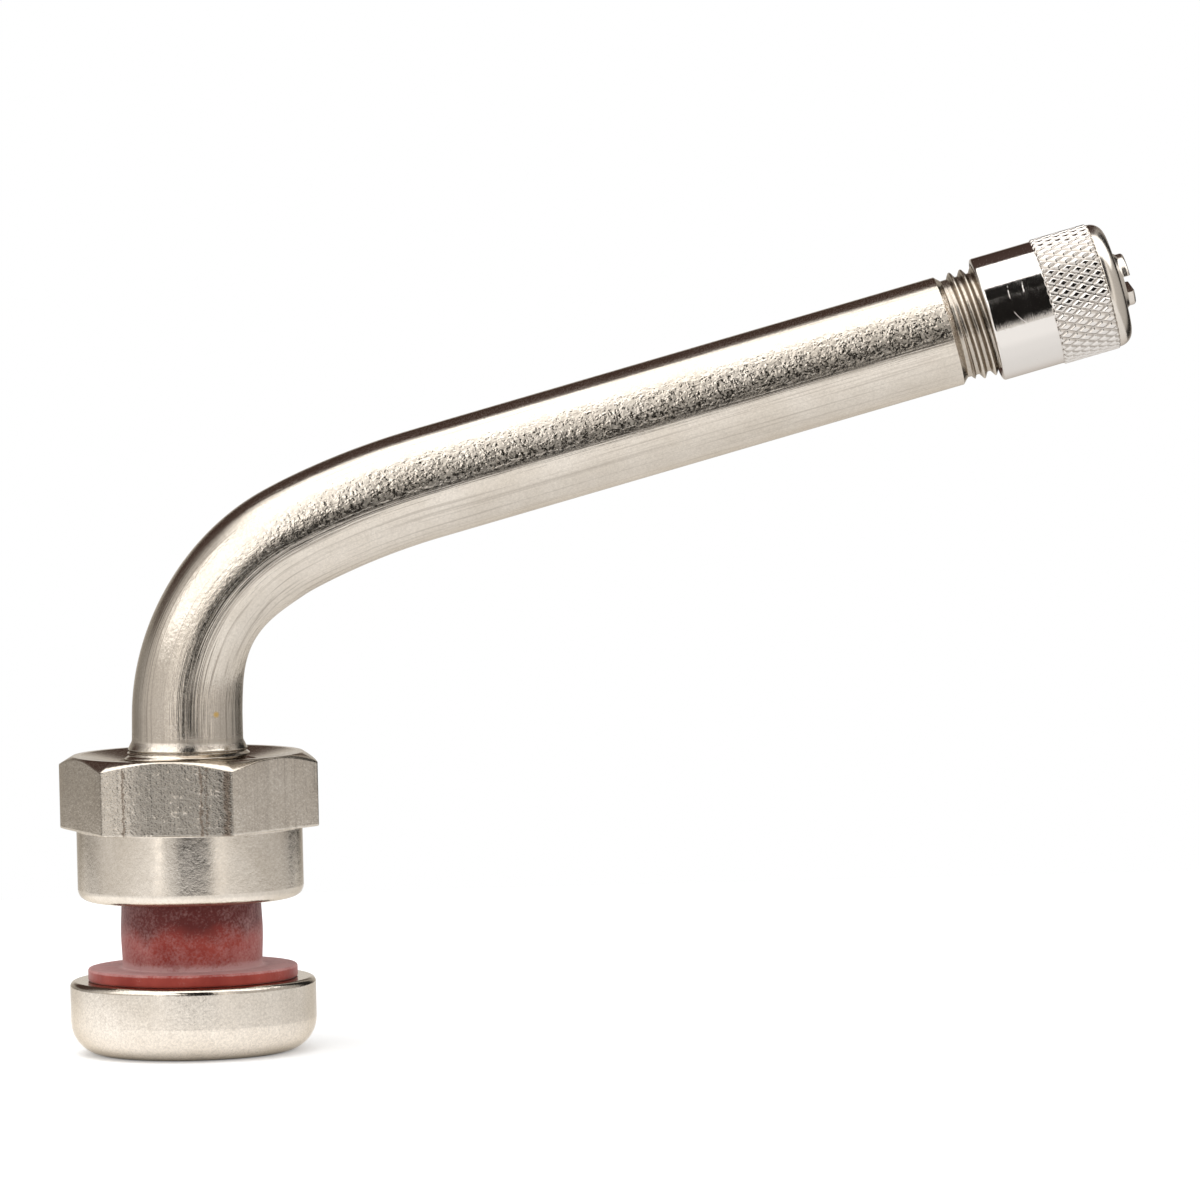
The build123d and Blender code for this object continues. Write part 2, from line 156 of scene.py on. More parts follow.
# Cap, heights counted from its mouth
CAP_THREAD_SHOWING = 2.35
CAP_RADIUS = 4.35
CAP_BORE_RADIUS = 3.9
CAP_BORE_DEPTH = 8.15
CAP_THREAD_DEPTH = 0.25
CAP_LENGTH = 9.45
CAP_CORNER_RADIUS = 1.0
KNURL_RADIUS = 4.45
KNURL_START = 4.35
KNURL_END = 8.4
KNURL_COUNT = 41
KNURL_ANGLE = math.radians(29)
KNURL_DEPTH = 0.12
KNURL_GROOVE_SHARE = 0.56
KNURL_ROWS = 0.048
KNURL_EDGE_MARGIN = 0.001
STUB_RADIUS = 1.825
STUB_HEIGHT = 0.85
STUB_RING_WIDTH = 0.45
STUB_RING_DEPTH = 0.3
STUB_FLARE_WIDTH = 0.28
STUB_FLARE_HEIGHT = 0.35
STUB_TOP = CAP_LENGTH + STUB_HEIGHT
SLOT_WIDTH = 1.1
SLOT_DEPTH = 0.5
SLOT_TURN = math.radians(99.5)
CAP_GASKET_RADIUS = 3.82
CAP_GASKET_THICKNESS = 1.0

# Core spring and rubber
SPRING_TURNS = 7.0
SPRING_WIRE_RADIUS = 0.15
SPRING_RADIUS = 1.05
SPRING_TOP_DEPTH = 7.36
SPRING_BOTTOM_DEPTH = 15.52
SPRING_LENGTH = SPRING_BOTTOM_DEPTH - SPRING_TOP_DEPTH
TAPER_TOP = 8.38
TAPER_BOTTOM = 10.82
TAPER_BORE_RADIUS = 1.68
TAPER_TOP_RADIUS = 2.27
CUP_SEAL_TOP = 16.6
CUP_SEAL_BOTTOM = 17.55
CUP_SEAL_BORE_RADIUS = 0.53
CUP_SEAL_RADIUS = 1.37

# Camera, fitted to a 1200 by 1200 picture
CAMERA_PLACE = Vector((6.5, -650.0, 64.0))
CAMERA_AIM = Vector((28.68, 0.0, 24.63))
CAMERA_ROLL = math.radians(-1.21)
SENSOR_WIDTH = 36.0
PICTURE_WIDTH = 1200
FOCAL_PIXELS = 9438

# Lamp and floor. In the metal the floor glows near a spot and in front, and not under the
# base. Each of these fades from its first distance to its second.
LAMP_PLACE = Vector((-120.0, -100.0, 500.0))
LAMP_SIZE = Vector((500.0, 300.0))
LAMP_POWER = 1.2
FLOOR_FRONT_EDGE = -125.0
FLOOR_REACH = 118.0
FLOOR_SPOT_X = -12.0
SPOT_FADE = (18.0, 46.0)
FRONT_FADE = (-25.0, -50.0)
BASE_FADE = (6.2, 8.4)

# Studio that the metal mirrors: degrees round Z from the camera, and level there
SIDE_LEVELS = [
    (-178, 1.0), (-160, 0.7), (-140, 0.42), (-120, 0.46), (-95, 0.85), (-45, 0.95),
    (-38, 1.0), (-34, 1.9), (-29.5, 1.9), (-25, 0.6), (20, 0.5), (28, 1.35), (34, 1.25),
    (45, 0.72), (108, 0.62), (119, 0.4), (126, 0.03), (148, 0.03), (156, 0.6), (178, 1.0),
]
SIDE_TINT = (1.0, 0.97, 0.93)
BROWN_GAP = (0.1, 0.066, 0.057)
DARK_GAP = (0.015, 0.014, 0.013)

# Patches in it: colour, then left, right, low and high edge and softness in degrees
STUDIO_PATCHES = [
    ((2.3, 2.28, 2.25), -88, -11, 16, 48, 5),
    (DARK_GAP, -7, 21, -60, 59, 1.5),
    (DARK_GAP, -13, -4, -60, 4, 2),
    (DARK_GAP, -18, -4, 34, 59, 2),
    ((0.95, 0.92, 0.88), 8.5, 26, -40, -7, 1),
]

# Sheet overhead: how far it reaches across, and to the front and back, for each unit of its
# height
SHEET_LIGHT = (2.4, 2.4, 2.38)
SHEET_ACROSS = (-0.85, 1.4)
SHEET_DEPTH = (-0.61, 0.44)

# Colours, and small marks on the metal by where they lay when the piece stood upright
WHITE = (1, 1, 1)
PAPER = (0.9, 0.9, 0.9)
NICKEL = (0.68, 0.622, 0.55)
NICKEL_STAINED = (0.6, 0.54, 0.465)
# Dark nickel for lines and speckles, and for painted shade in the knurl's grooves
NICKEL_MARKS_AND_SHADE = (0.3, 0.26, 0.22)
NICKEL_DULLED = (0.29, 0.264, 0.23)
# Dark grime for lines on the nut, and for grime and painted shade in the tip thread's grooves
GRIME_AND_THREAD_SHADE = (0.17, 0.13, 0.1)
NICKEL_EDGE = (0.7, 0.66, 0.6)
BRIGHT_NICKEL = (0.66, 0.625, 0.59)
BRIGHT_NICKEL_EDGE = (0.62, 0.58, 0.54)
SILICONE = (0.26, 0.028, 0.018)
SILICONE_LIGHT = (0.36, 0.055, 0.038)
# Painted shade on the grommet under the nut's skirt
SILICONE_PAINTED_SHADE = (0.095, 0.01, 0.008)
DUST_COLOUR = (0.62, 0.39, 0.375)
RUBBER = (0.018, 0.018, 0.019)
BRASS = (0.62, 0.43, 0.17)
BRASS_DARK = (0.48, 0.32, 0.12)
STEEL = (0.5, 0.49, 0.47)
STEEL_DARK = (0.33, 0.32, 0.31)
BRASS_SPECK = (2.05, -3.26, 17.6)

# Dark pulled lines on the nut's coarse flat: place along it, half width
COARSE_FLAT_LINES = [(-3.0, 0.11), (2.45, 0.12), (2.8, 0.06), (4.2, 0.3)]

# Scratches on the cap: centre and radius of the circle, middle and reach of the part, width
CAP_SCRATCHES = [
    ((-1.4, -4.1, 4.9), 3.15, (-1.6, -4.05, 1.75), 0.5, 0.03),
    ((-1.0, -4.17, 3.9), 2.3, (0.3, -4.35, 2.1), 0.75, 0.018),
    ((-1.5, -4.08, 6.3), 3.5, (-1.7, -4.0, 2.8), 0.5, 0.05),
    ((1.5, -3.6, 0.2), 1.1, (0.6, -4.3, 0.9), 0.3, 0.02),
    ((3.0, -2.4, 4.6), 2.2, (3.4, -2.7, 2.45), 0.35, 0.04),
]


class Signal:
    """What an output socket puts out. Arithmetic on signals and numbers makes Math nodes."""

    def __init__(self, socket):
        self.socket = socket
        self.tree = socket.id_data

    def __add__(self, other):
        return maths("ADD", self, other)

    def __sub__(self, other):
        return maths("SUBTRACT", self, other)

    def __rsub__(self, other):
        return maths("SUBTRACT", other, self)

    def __mul__(self, other):
        return maths("MULTIPLY", self, other)

    def __truediv__(self, other):
        return maths("DIVIDE", self, other)

    def __rtruediv__(self, other):
        return maths("DIVIDE", other, self)


def fill(node, inputs):
    """Sets a node's inputs to values, or joins them to signals."""
    for key, value in inputs.items():
        if isinstance(value, Signal):
            value.tree.links.new(value.socket, node.inputs[key])
        else:
            node.inputs[key].default_value = value


def add(kind, inputs=None, output=0, tree=None, **settings):
    """A new node with these settings and inputs, in this tree or else in that of its first
    signal. Gives the signal of one of its outputs."""
    inputs = inputs or {}
    if tree is None:
        tree = next(value.tree for value in inputs.values() if isinstance(value, Signal))
    node = tree.nodes.new(kind)
    for name, value in settings.items():
        setattr(node, name, value)
    fill(node, inputs)
    return Signal(node.outputs[output])


def outputs(signal):
    """All outputs of the node that a signal comes from, by name."""
    return {socket.name: Signal(socket) for socket in signal.socket.node.outputs}


def maths(operation, *values, clamp=False):
    """The result of one Math node on signals and numbers."""
    return add("ShaderNodeMath", dict(enumerate(values)), operation=operation, use_clamp=clamp)


def vectors(operation, *values):
    """The result of one Vector Math node. SCALE takes its factor last."""
    inputs = {0: values[0], "Scale": values[1]} if operation == "SCALE" else dict(enumerate(values))
    output = "Value" if operation in ("DISTANCE", "DOT_PRODUCT", "LENGTH") else "Vector"
    return add("ShaderNodeVectorMath", inputs, output, operation=operation)


def parts(vector):
    """The X, Y and Z of a vector."""
    return list(outputs(add("ShaderNodeSeparateXYZ", {0: vector})).values())


def across(place):
    """The part of a place that lies level, away from Z."""
    return vectors("MULTIPLY", place, (1, 1, 0))


def from_axis(place):
    """The distance from Z."""
    return vectors("LENGTH", across(place))


def millimetres(place):
    return vectors("SCALE", place, 1 / MM)


def ramp(value, low, high, smooth=False):
    """0 where value is at or below low, 1 at or above high."""
    inputs = {"Value": value, "From Min": low, "From Max": high}
    kind = "SMOOTHSTEP" if smooth else "LINEAR"
    return add("ShaderNodeMapRange", inputs, "Result", interpolation_type=kind)


def titled(name):
    """An argument's name as its socket's name."""
    return name.replace("_", " ").title()


def group(kind, name, output, output_kind, build, inputs):
    """A node group. Its inputs are numbers to start from, or the kind of a socket. build takes
    their signals under the same names, and gives the signal that goes out."""
    tree = bpy.data.node_groups.new(name, kind)
    face = tree.interface
    for key, value in inputs.items():
        socket_kind = value if isinstance(value, str) else "Float"
        socket = face.new_socket(name=titled(key), in_out="INPUT", socket_type="NodeSocket" + socket_kind)
        if socket_kind == "Float":
            socket.default_value = value
    face.new_socket(name=output, in_out="OUTPUT", socket_type="NodeSocket" + output_kind)
    given = [Signal(socket) for socket in tree.nodes.new("NodeGroupInput").outputs]
    result = build(**dict(zip(inputs, given)))
    fill(tree.nodes.new("NodeGroupOutput"), {0: result})
    return tree


# Shapes: rings of points, joined into closed skins


def new_object(name, data):
    obj = bpy.data.objects.new(name, data)
    bpy.context.scene.collection.objects.link(obj)
    return obj


def spread(start, end, step):
    """Evenly spaced numbers after start, up to and with end, no further apart than step."""
    count = max(1, math.ceil(abs(end - start) / step - 1e-6))
    return [start + (end - start) * (i + 1) / count for i in range(count)]


def rounded(points, arc_steps=5, guard=0.04):
    """A profile of (radius, height) points. A third number rounds that corner, by an arc
    with a guard point close to each end, so that flat faces beside it stay flat."""
    made = []
    for i, point in enumerate(points):
        corner = Vector(point[:2])
        if len(point) == 2:
            made.append(corner)
            continue
        before = (Vector(points[i - 1][:2]) - corner).normalized()
        after = (Vector(points[(i + 1) % len(points)][:2]) - corner).normalized()
        half = before.angle(after) / 2
        reach = point[2] / math.tan(half)
        centre = corner + (before + after).normalized() * point[2] / math.sin(half)
        start, end = corner + before * reach - centre, corner + after * reach - centre
        made.append(corner + before * (reach + guard))
        for j in range(arc_steps + 1):
            made.append(centre + start.slerp(end, j / arc_steps) * point[2])
        made.append(corner + after * (reach + guard))
    return made


def rows_between(profile, low, high, step):
    """The profile with points no further apart than step from height low to height high."""
    made = [profile[0]]
    for start, end in zip(profile, profile[1:]):
        length, rise = (end - start).length, end.y - start.y
        stops = [0.0, 1.0]
        if abs(rise) > 1e-6:
            stops += [cut for cut in ((low - start.y) / rise, (high - start.y) / rise) if 0.001 < cut < 0.999]
        stops.sort()
        for first, last in zip(stops, stops[1:]):
            inside = low < start.y + rise * (first + last) / 2 < high
            share = step / length if inside else 1.0
            made += [start.lerp(end, along) for along in spread(first, last, share)]
    return made


def circle(radius, height, angles):
    """A level ring of points, or the pole where the radius is 0. radius and height are
    numbers, or functions of the angle."""
    if radius == 0:
        return [Vector((0, 0, height))]
    ring = []
    for angle in angles:
        r = radius(angle) if callable(radius) else radius
        z = height(angle) if callable(height) else height
        ring.append(Vector((r * math.cos(angle), r * math.sin(angle), z)))
    return ring


def circles(profile, angles):
    """A ring for each point of a profile."""
    return [circle(point.x, point.y, angles) for point in profile]


def even_angles(count):
    return [TURN * i / count for i in range(count)]


def skin(name, rings):
    """A mesh object over rings of points, closed by its poles or by going on from the last
    ring to the first. Where the number of points changes, one number is a multiple of the
    other and the two rings are level."""
    mesh = bpy.data.meshes.new(name)
    bm = bmesh.new()
    loops = [[bm.verts.new(point * MM) for point in ring] for ring in rings]
    if len(loops[0]) > 1:
        loops.append(loops[0])
    for fine, coarse in zip(loops, loops[1:]):
        if len(coarse) > len(fine):
            fine, coarse = coarse, fine
        share = len(fine) // len(coarse)
        for j in range(len(coarse)):
            side = [fine[(j * share + k) % len(fine)] for k in range(share + 1)]
            if len(coarse) > 1:
                bm.faces.new(side + [coarse[(j + 1) % len(coarse)], coarse[j]])
            else:
                for pair in zip(side, side[1:]):
                    bm.faces.new((*pair, coarse[0]))
    bmesh.ops.recalc_face_normals(bm, faces=bm.faces)
    bm.to_mesh(mesh)
    bm.free()
    mesh.shade_smooth()
    return new_object(name, mesh)


def keep_turned_place(mesh):
    """Stores where each point is before the piece is put in its place, for the materials."""
    stored = mesh.attributes.new("turned", "FLOAT_VECTOR", "POINT")
    flat = [0.0] * (3 * len(mesh.vertices))
    mesh.vertices.foreach_get("co", flat)
    stored.data.foreach_set("vector", flat)


def put_on_tip(obj, height):
    """Puts a turned piece on the tip's axis, its height 0 at this height from the mouth."""
    keep_turned_place(obj.data)
    side = Vector((0, 1, 0))
    matrix = Matrix((side.cross(OUTWARDS), side, OUTWARDS)).transposed().to_4x4()
    matrix.translation = (MOUTH + OUTWARDS * height) * MM
    obj.data.transform(matrix)


# Geometry Nodes: threads, knurl, spring and the lie along the bent middle line


def shaping(name, build, **sizes):
    """A tree for a modifier, which realizes what build makes and gives it its material."""

    def whole(material, **given):
        real = add("GeometryNodeRealizeInstances", {"Geometry": build(**given)})
        return add("GeometryNodeSetMaterial", {"Geometry": real, "Material": material})

    inputs = {"geometry": "Geometry", **sizes, "material": "Material"}
    return group("GeometryNodeTree", name, "Geometry", "Geometry", whole, inputs)


def round_axis(geometry):
    """A point's height, its distance from Z, its turns round Z and its way outwards."""
    place = millimetres(add("GeometryNodeInputPosition", tree=geometry.tree))
    x, y, height = parts(place)
    turns = maths("ARCTAN2", y, x) / TURN
    return height, from_axis(place), turns, vectors("NORMALIZE", across(place))


def moved_out(geometry, outward, change, chosen):
    """Moves the chosen points away from Z by change."""
    offset = vectors("SCALE", outward, change * MM)
    return add("GeometryNodeSetPosition", {"Geometry": geometry, "Selection": chosen, "Offset": offset})


def cut_thread(
    geometry, crest_radius, depth, pitch, crest_height, start, end, run_out,
    crest_share, root_share, side, reach,
):
    """Cuts a right-handed thread in a turned piece, by moving the points of its wall. Side is
    1 on an outer wall and -1 in a bore."""
    height, radius, turns, outward = round_axis(geometry)
    phase = maths("FRACT", (height - crest_height) / pitch - turns)
    from_crest = 1.0 - maths("ABSOLUTE", phase * 2.0 - 1.0)
    groove = ramp(from_crest, crest_share, 1.0 - root_share)
    fade = maths("MINIMUM", (height - start) / run_out, (end - height) / run_out, clamp=True)
    wall = crest_radius * side - groove * fade * depth
    change = maths("MINIMUM", radius * side, wall) * side - radius
    near = maths("COMPARE", radius, crest_radius, reach)
    return moved_out(geometry, outward, change, near * maths("GREATER_THAN", fade, 0.0))


def cut_knurl(geometry, radius, count, angle, depth, groove_share, start, end, reach):
    """Cuts two crossing sets of grooves in a band of a turned piece, which leaves diamonds.
    The margin takes in the rows of points on the band's own edges."""
    height, own_radius, turns, outward = round_axis(geometry)
    around = turns * count
    along = height * (maths("TANGENT", angle) / radius * count / TURN)
    grooves = []
    for line in (around + along, around - along):
        to_groove = maths("ABSOLUTE", maths("FRACT", line) * 2.0 - 1.0)
        grooves.append(ramp(to_groove, 1.0 - groove_share, 1.0, smooth=True))
    change = maths("MAXIMUM", *grooves) * depth * -1.0
    in_band = maths("COMPARE", height, (start + end) * 0.5, (end - start) * 0.5 + KNURL_EDGE_MARGIN)
    on_wall = maths("COMPARE", own_radius, radius, reach)
    return moved_out(geometry, outward, change, in_band * on_wall)


def lie_along(geometry, line, line_start):
    """Lays a straight turned piece along a line that bends in the plane of X and Z."""
    position = add("GeometryNodeInputPosition", tree=geometry.tree)
    kept = {"Geometry": geometry, "Name": "turned", "Value": position}
    kept = add("GeometryNodeStoreNamedAttribute", kept, data_type="FLOAT_VECTOR")
    x, y, height = parts(position)
    curve = add("GeometryNodeObjectInfo", {"Object": line}, "Geometry")
    sample = {"Curves": curve, "Length": height - line_start * MM}
    sample = outputs(add("GeometryNodeSampleCurve", sample, mode="LENGTH", use_all_curves=True))
    side = vectors("CROSS_PRODUCT", (0, 1, 0), sample["Tangent"])
    offset = vectors("ADD", vectors("SCALE", side, x), add("ShaderNodeCombineXYZ", {"Y": y}))
    place = vectors("ADD", sample["Position"], offset)
    return add("GeometryNodeSetPosition", {"Geometry": kept, "Position": place})


def wind_coil(geometry, turns, radius, height, wire_radius):
    """A coil spring of round wire, standing on Z, in place of an empty mesh."""
    radius = radius * MM
    coil = {"Resolution": 32, "Rotations": turns, "Start Radius": radius, "End Radius": radius}
    coil = add("GeometryNodeCurveSpiral", {**coil, "Height": height * MM})
    wire = add("GeometryNodeCurvePrimitiveCircle", {"Resolution": 12, "Radius": wire_radius * MM})
    return add("GeometryNodeCurveToMesh", {"Curve": coil, "Profile Curve": wire, "Fill Caps": True})


def shape(obj, tree, material, **values):
    """Adds a Geometry Nodes modifier with these inputs."""
    modifier = obj.modifiers.new(tree.name, "NODES")
    modifier.node_group = tree
    keys = {item.name: item.identifier for item in tree.interface.items_tree if item.in_out == "INPUT"}
    for name, value in {**values, "material": material}.items():
        modifier[keys[titled(name)]] = value


def thread(obj, material, radius, depth, pitch, start, end, **values):
    """Adds a modifier that cuts a thread."""
    values.update(crest_radius=radius, depth=depth, pitch=pitch, start=start, end=end)
    shape(obj, THREAD, material, **values)


def made_plain(obj):
    """The object keeps the mesh that its modifiers make, and loses the modifiers."""
    graph = bpy.context.evaluated_depsgraph_get()
    made = obj.evaluated_get(graph)
    mesh = bpy.data.meshes.new_from_object(made, preserve_all_data_layers=True, depsgraph=graph)
    obj.modifiers.clear()
    obj.data = mesh


# Materials


def opaque(colour):
    return colour if isinstance(colour, Signal) else (*colour, 1)


def finished(name, finish, colour, metallic, roughness, constants=None, on_object=False):
    """A material. finish gives its colour, roughness and normal from a point's place, in
    millimetres, when its piece stood upright, or else on the object as it is."""
    material = bpy.data.materials.new(name)
    material.use_nodes = True
    tree = material.node_tree
    shader = tree.nodes["Principled BSDF"]
    fill(shader, {"Base Color": opaque(colour), "Metallic": metallic, "Roughness": roughness})
    fill(shader, constants or {})
    if on_object:
        place = add("ShaderNodeTexCoord", output="Object", tree=tree)
    else:
        place = add("ShaderNodeAttribute", output="Vector", tree=tree, attribute_name="turned")
    colour, roughness, normal = finish(millimetres(place))
    fill(shader, {"Base Color": colour, "Roughness": roughness, "Normal": normal})
    return material


def effect(name, output, build, **sizes):
    """A group for materials, which build makes from a place and sizes."""
    return group("ShaderNodeTree", name, output, "Float", build, {"vector": "Vector", **sizes})


def grouped(tree, place, **values):
    """What a shared effect puts out here, with these values."""
    inputs = {titled(name): value for name, value in values.items()}
    return add("ShaderNodeGroup", {"Vector": place, **inputs}, node_tree=tree)


def blended(share, first, second):
    """A colour between two colours."""
    return add("ShaderNodeMix", {0: share, 6: opaque(first), 7: opaque(second)}, 2, data_type="RGBA")


def mixed(share, first, second):
    """A number between two numbers."""
    return add("ShaderNodeMix", {0: share, 2: first, 3: second})


def bumped(height, depth, below=None):
    """A normal for a surface that height raises by up to depth, over the normal below."""
    inputs = {"Height": height, "Distance": depth * MM}
    if below:
        inputs["Normal"] = below
    return add("ShaderNodeBump", inputs)


def mottle(place, scale, detail, roughness=0.5):
    """Cloudy noise from 0 to 1, with so many clouds to a millimetre."""
    inputs = {"Vector": place, "Scale": scale, "Detail": detail, "Roughness": roughness}
    return add("ShaderNodeTexNoise", inputs)


def tumbled_grain(vector, grain, seed, detail):
    """Small uneven dents, as tumbling leaves them."""
    scale = 1.0 / grain
    fine = {"Vector": vector, "W": seed * (1 / MM), "Scale": scale, "Detail": detail, "Roughness": 0.6}
    fine = add("ShaderNodeTexNoise", fine, noise_dimensions="4D")
    dents = add("ShaderNodeTexVoronoi", {"Vector": vector, "Scale": scale * 0.45}, feature="SMOOTH_F1")
    return fine + dents * 0.5


def drawn_lines(vector, spacing, length):
    """Fine lines that run along Z, as drawing or pulling a bar leaves them."""
    x, y, z = parts(vector)
    place = add("ShaderNodeCombineXYZ", {"X": x / spacing, "Y": y / spacing, "Z": z / length})
    return mottle(place, 1.0, 3.0, 0.7)


def loose_dust(vector, patch, amount):
    """Loose patches of fine pale dust. Amount moves their edge."""
    wide = 1.0 / patch
    both = mottle(vector, wide * 6.0, 3.0, 0.6) * 0.9 + mottle(vector, wide, 4.0) * 0.6
    level = 1.0 - amount * 0.55
    return ramp(both, level, level + 0.55)


def stained_nickel(place, scale, fine_grain, speckle):
    """Nickel's colour with wide stains, and dark speckles in its fine grain."""
    colour = blended(ramp(mottle(place, scale, 4.0), 0.35, 0.7), NICKEL, NICKEL_STAINED)
    return blended(ramp(fine_grain, 0.5, 0.95) * speckle, colour, NICKEL_MARKS_AND_SHADE)


def stem_finish(place):
    """Nickel on the stem: tumbled along the sides of the tube, drawn lines elsewhere on it, grain on the
    base, grime and painted shade in the tip's thread grooves, darker towards the foot of the tube, and one
    speck of bare brass."""
    x, height = parts(place)[::2]
    on_thread = ramp(height, TUBE_END, TUBE_END + 0.1)
    on_tube = maths("SUBTRACT", ramp(height, TUBE_START - 0.3, TUBE_START + 0.3), on_thread, clamp=True)
    bent = ramp(height, BEND_START + 2, BEND_START + 26)
    outward = x / -TUBE_RADIUS
    strip = ramp(outward, -0.14, 0.02) * ramp(outward, 0.8, 0.5, smooth=True)
    tumbled = strip * mixed(bent, 0.22, 1.0) * on_tube
    clear_of_dents = on_tube * mixed(tumbled, 1.0, 0.1)

    grain = grouped(GRAIN, vectors("MULTIPLY", place, (1.0, 1.0, 0.75)), grain=0.2, detail=1.5)
    fine_grain = grouped(GRAIN, place, grain=0.08, detail=1.0, seed=4.0)
    specks = ramp(grouped(GRAIN, place, grain=0.14, detail=1.0, seed=8.0), 0.6, 0.8)
    lines = grouped(LINES, place, spacing=0.2, length=20.0)
    wide_lines = grouped(LINES, place, spacing=0.5, length=50.0)

    dents = tumbled * mixed(ramp(outward, -0.05, 0.15), 0.4, 1.25)
    normal = bumped(grain * maths("MAXIMUM", dents, mixed(on_tube, 0.15, 0.06)), 0.06)
    line_share = clear_of_dents * mixed(bent, 1.0, 0.3) * mixed(ramp(outward, 0.1, 0.5), 1.0, 0.45)
    normal = bumped(lines * line_share, 0.06, normal)
    normal = bumped(wide_lines * line_share, 0.04, normal)

    colour = stained_nickel(place, 0.26, fine_grain, mixed(on_tube, 0.42, 0.3))
    dark_lines = ramp(lines, 0.54, 0.66) * (clear_of_dents * mixed(bent, 0.8, 0.4))
    colour = blended(dark_lines, colour, NICKEL_MARKS_AND_SHADE)
    # Darker towards the foot of the tube
    foot = ramp(height, BEND_START + 6, TUBE_START) * on_tube
    colour = blended(foot * 0.3, colour, NICKEL_MARKS_AND_SHADE)
    # Grime and painted shade in the tip thread's grooves, darkest on the flanks
    radius = from_axis(place)
    below_crest = ramp(radius, TUBE_RADIUS - 0.06, TUBE_RADIUS - 0.2)
    above_root = ramp(radius, TUBE_RADIUS - 0.37, TUBE_RADIUS - 0.27)
    colour = blended(below_crest * (above_root * 0.5 + 0.25) * on_thread, colour, GRIME_AND_THREAD_SHADE)
    bare = ramp(vectors("DISTANCE", place, BRASS_SPECK), 0.3, 0.12)
    colour = blended(bare, colour, BRASS)

    roughness = mixed(ramp(lines, 0.4, 0.7), 0.13, 0.24)
    on_base_top = ramp(height, BASE_TOP - BASE_TOP_FILLET, BASE_TOP - 0.2) * maths("LESS_THAN", height, 0.0)
    roughness = mixed(on_base_top, roughness, 0.12)
    dull = mixed(ramp(outward, 0.02, 0.4), 0.3, 0.5)
    roughness = mixed(tumbled, roughness, mixed(specks, 0.12, dull))
    at_foot = on_tube * ramp(height, TUBE_START + 0.7, TUBE_START + 0.1)
    roughness = mixed(at_foot, roughness, 0.42)
    return colour, mixed(on_thread, roughness, 0.27), normal


def nut_finish(place):
    """Nickel on the nut: tumbled, with pulled lines on the flats and a smooth turned top. One
    flat is coarse and dull, with a few dark lines."""
    height = parts(place)[2]
    radius = from_axis(place)
    crown_height = maths("MAXIMUM", radius - CROWN_RADIUS, 0.0) * CROWN_SLOPE + height
    on_crown = ramp(crown_height, NUT_TOP - 0.09, NUT_TOP - 0.04)
    within = ramp(radius, HEX_HALF_WIDTH - 0.02, HEX_HALF_WIDTH - 0.06)
    on_hex = ramp(height, HEX_BOTTOM - 0.05, HEX_BOTTOM)
    on_top = maths("MAXIMUM", on_crown, within) * on_hex
    flats = on_hex - on_top
    facing = math.radians(COARSE_FLAT_TURN)
    out = vectors("DOT_PRODUCT", place, (math.cos(facing), math.sin(facing), 0))
    along = vectors("DOT_PRODUCT", place, (-math.sin(facing), math.cos(facing), 0))
    coarse = ramp(out, HEX_HALF_WIDTH - 0.2, HEX_HALF_WIDTH - 0.12) * flats

    grain = grouped(GRAIN, place, grain=0.2, seed=3.0)
    fine_grain = grouped(GRAIN, place, grain=0.11, detail=1.0, seed=6.0)
    pits = grouped(GRAIN, place, grain=0.22, detail=1.5, seed=12.0)
    lines = grouped(LINES, place, spacing=0.55, length=30.0)
    fine_lines = grouped(LINES, place, spacing=0.18, length=12.0)

    normal = bumped(grain * mixed(on_hex, 0.22, mixed(on_top, 0.5, 0.1)), 0.03)
    normal = bumped(pits * coarse, 0.03, normal)
    normal = bumped(fine_grain * coarse, 0.03, normal)
    normal = bumped(lines * flats, 0.04, normal)
    normal = bumped(fine_lines * flats, 0.012, normal)

    colour = stained_nickel(place, 0.3, fine_grain, mixed(flats, 0.25, 0.4))
    colour = blended(ramp(lines, 0.55, 0.68) * (flats * 0.3), colour, NICKEL_MARKS_AND_SHADE)
    dulled = mixed(ramp(along, -2.7, -1.8), 0.4, 1.0) * (1.0 - ramp(pits, 0.85, 0.95))
    colour = blended(dulled * coarse, colour, NICKEL_DULLED)
    wander = (grain - 0.7) * 0.6 + along
    for middle, width in COARSE_FLAT_LINES:
        line = ramp(maths("ABSOLUTE", wander - middle), width, 0.4 * width)
        colour = blended(line * coarse * 0.8, colour, GRIME_AND_THREAD_SHADE)

    roughness = mixed(ramp(grain, 0.4, 0.9), mixed(on_hex, 0.12, 0.16), 0.25)
    return colour, mixed(on_top, roughness, 0.19), normal


def arc_scratch(place, centre, radius, middle, reach, width):
    """One thin arc: the part near middle of a circle of radius round centre."""
    off = maths("ABSOLUTE", vectors("DISTANCE", place, centre) - radius)
    return ramp(off, width, 0.0) * ramp(vectors("DISTANCE", place, middle), reach, 0.6 * reach)


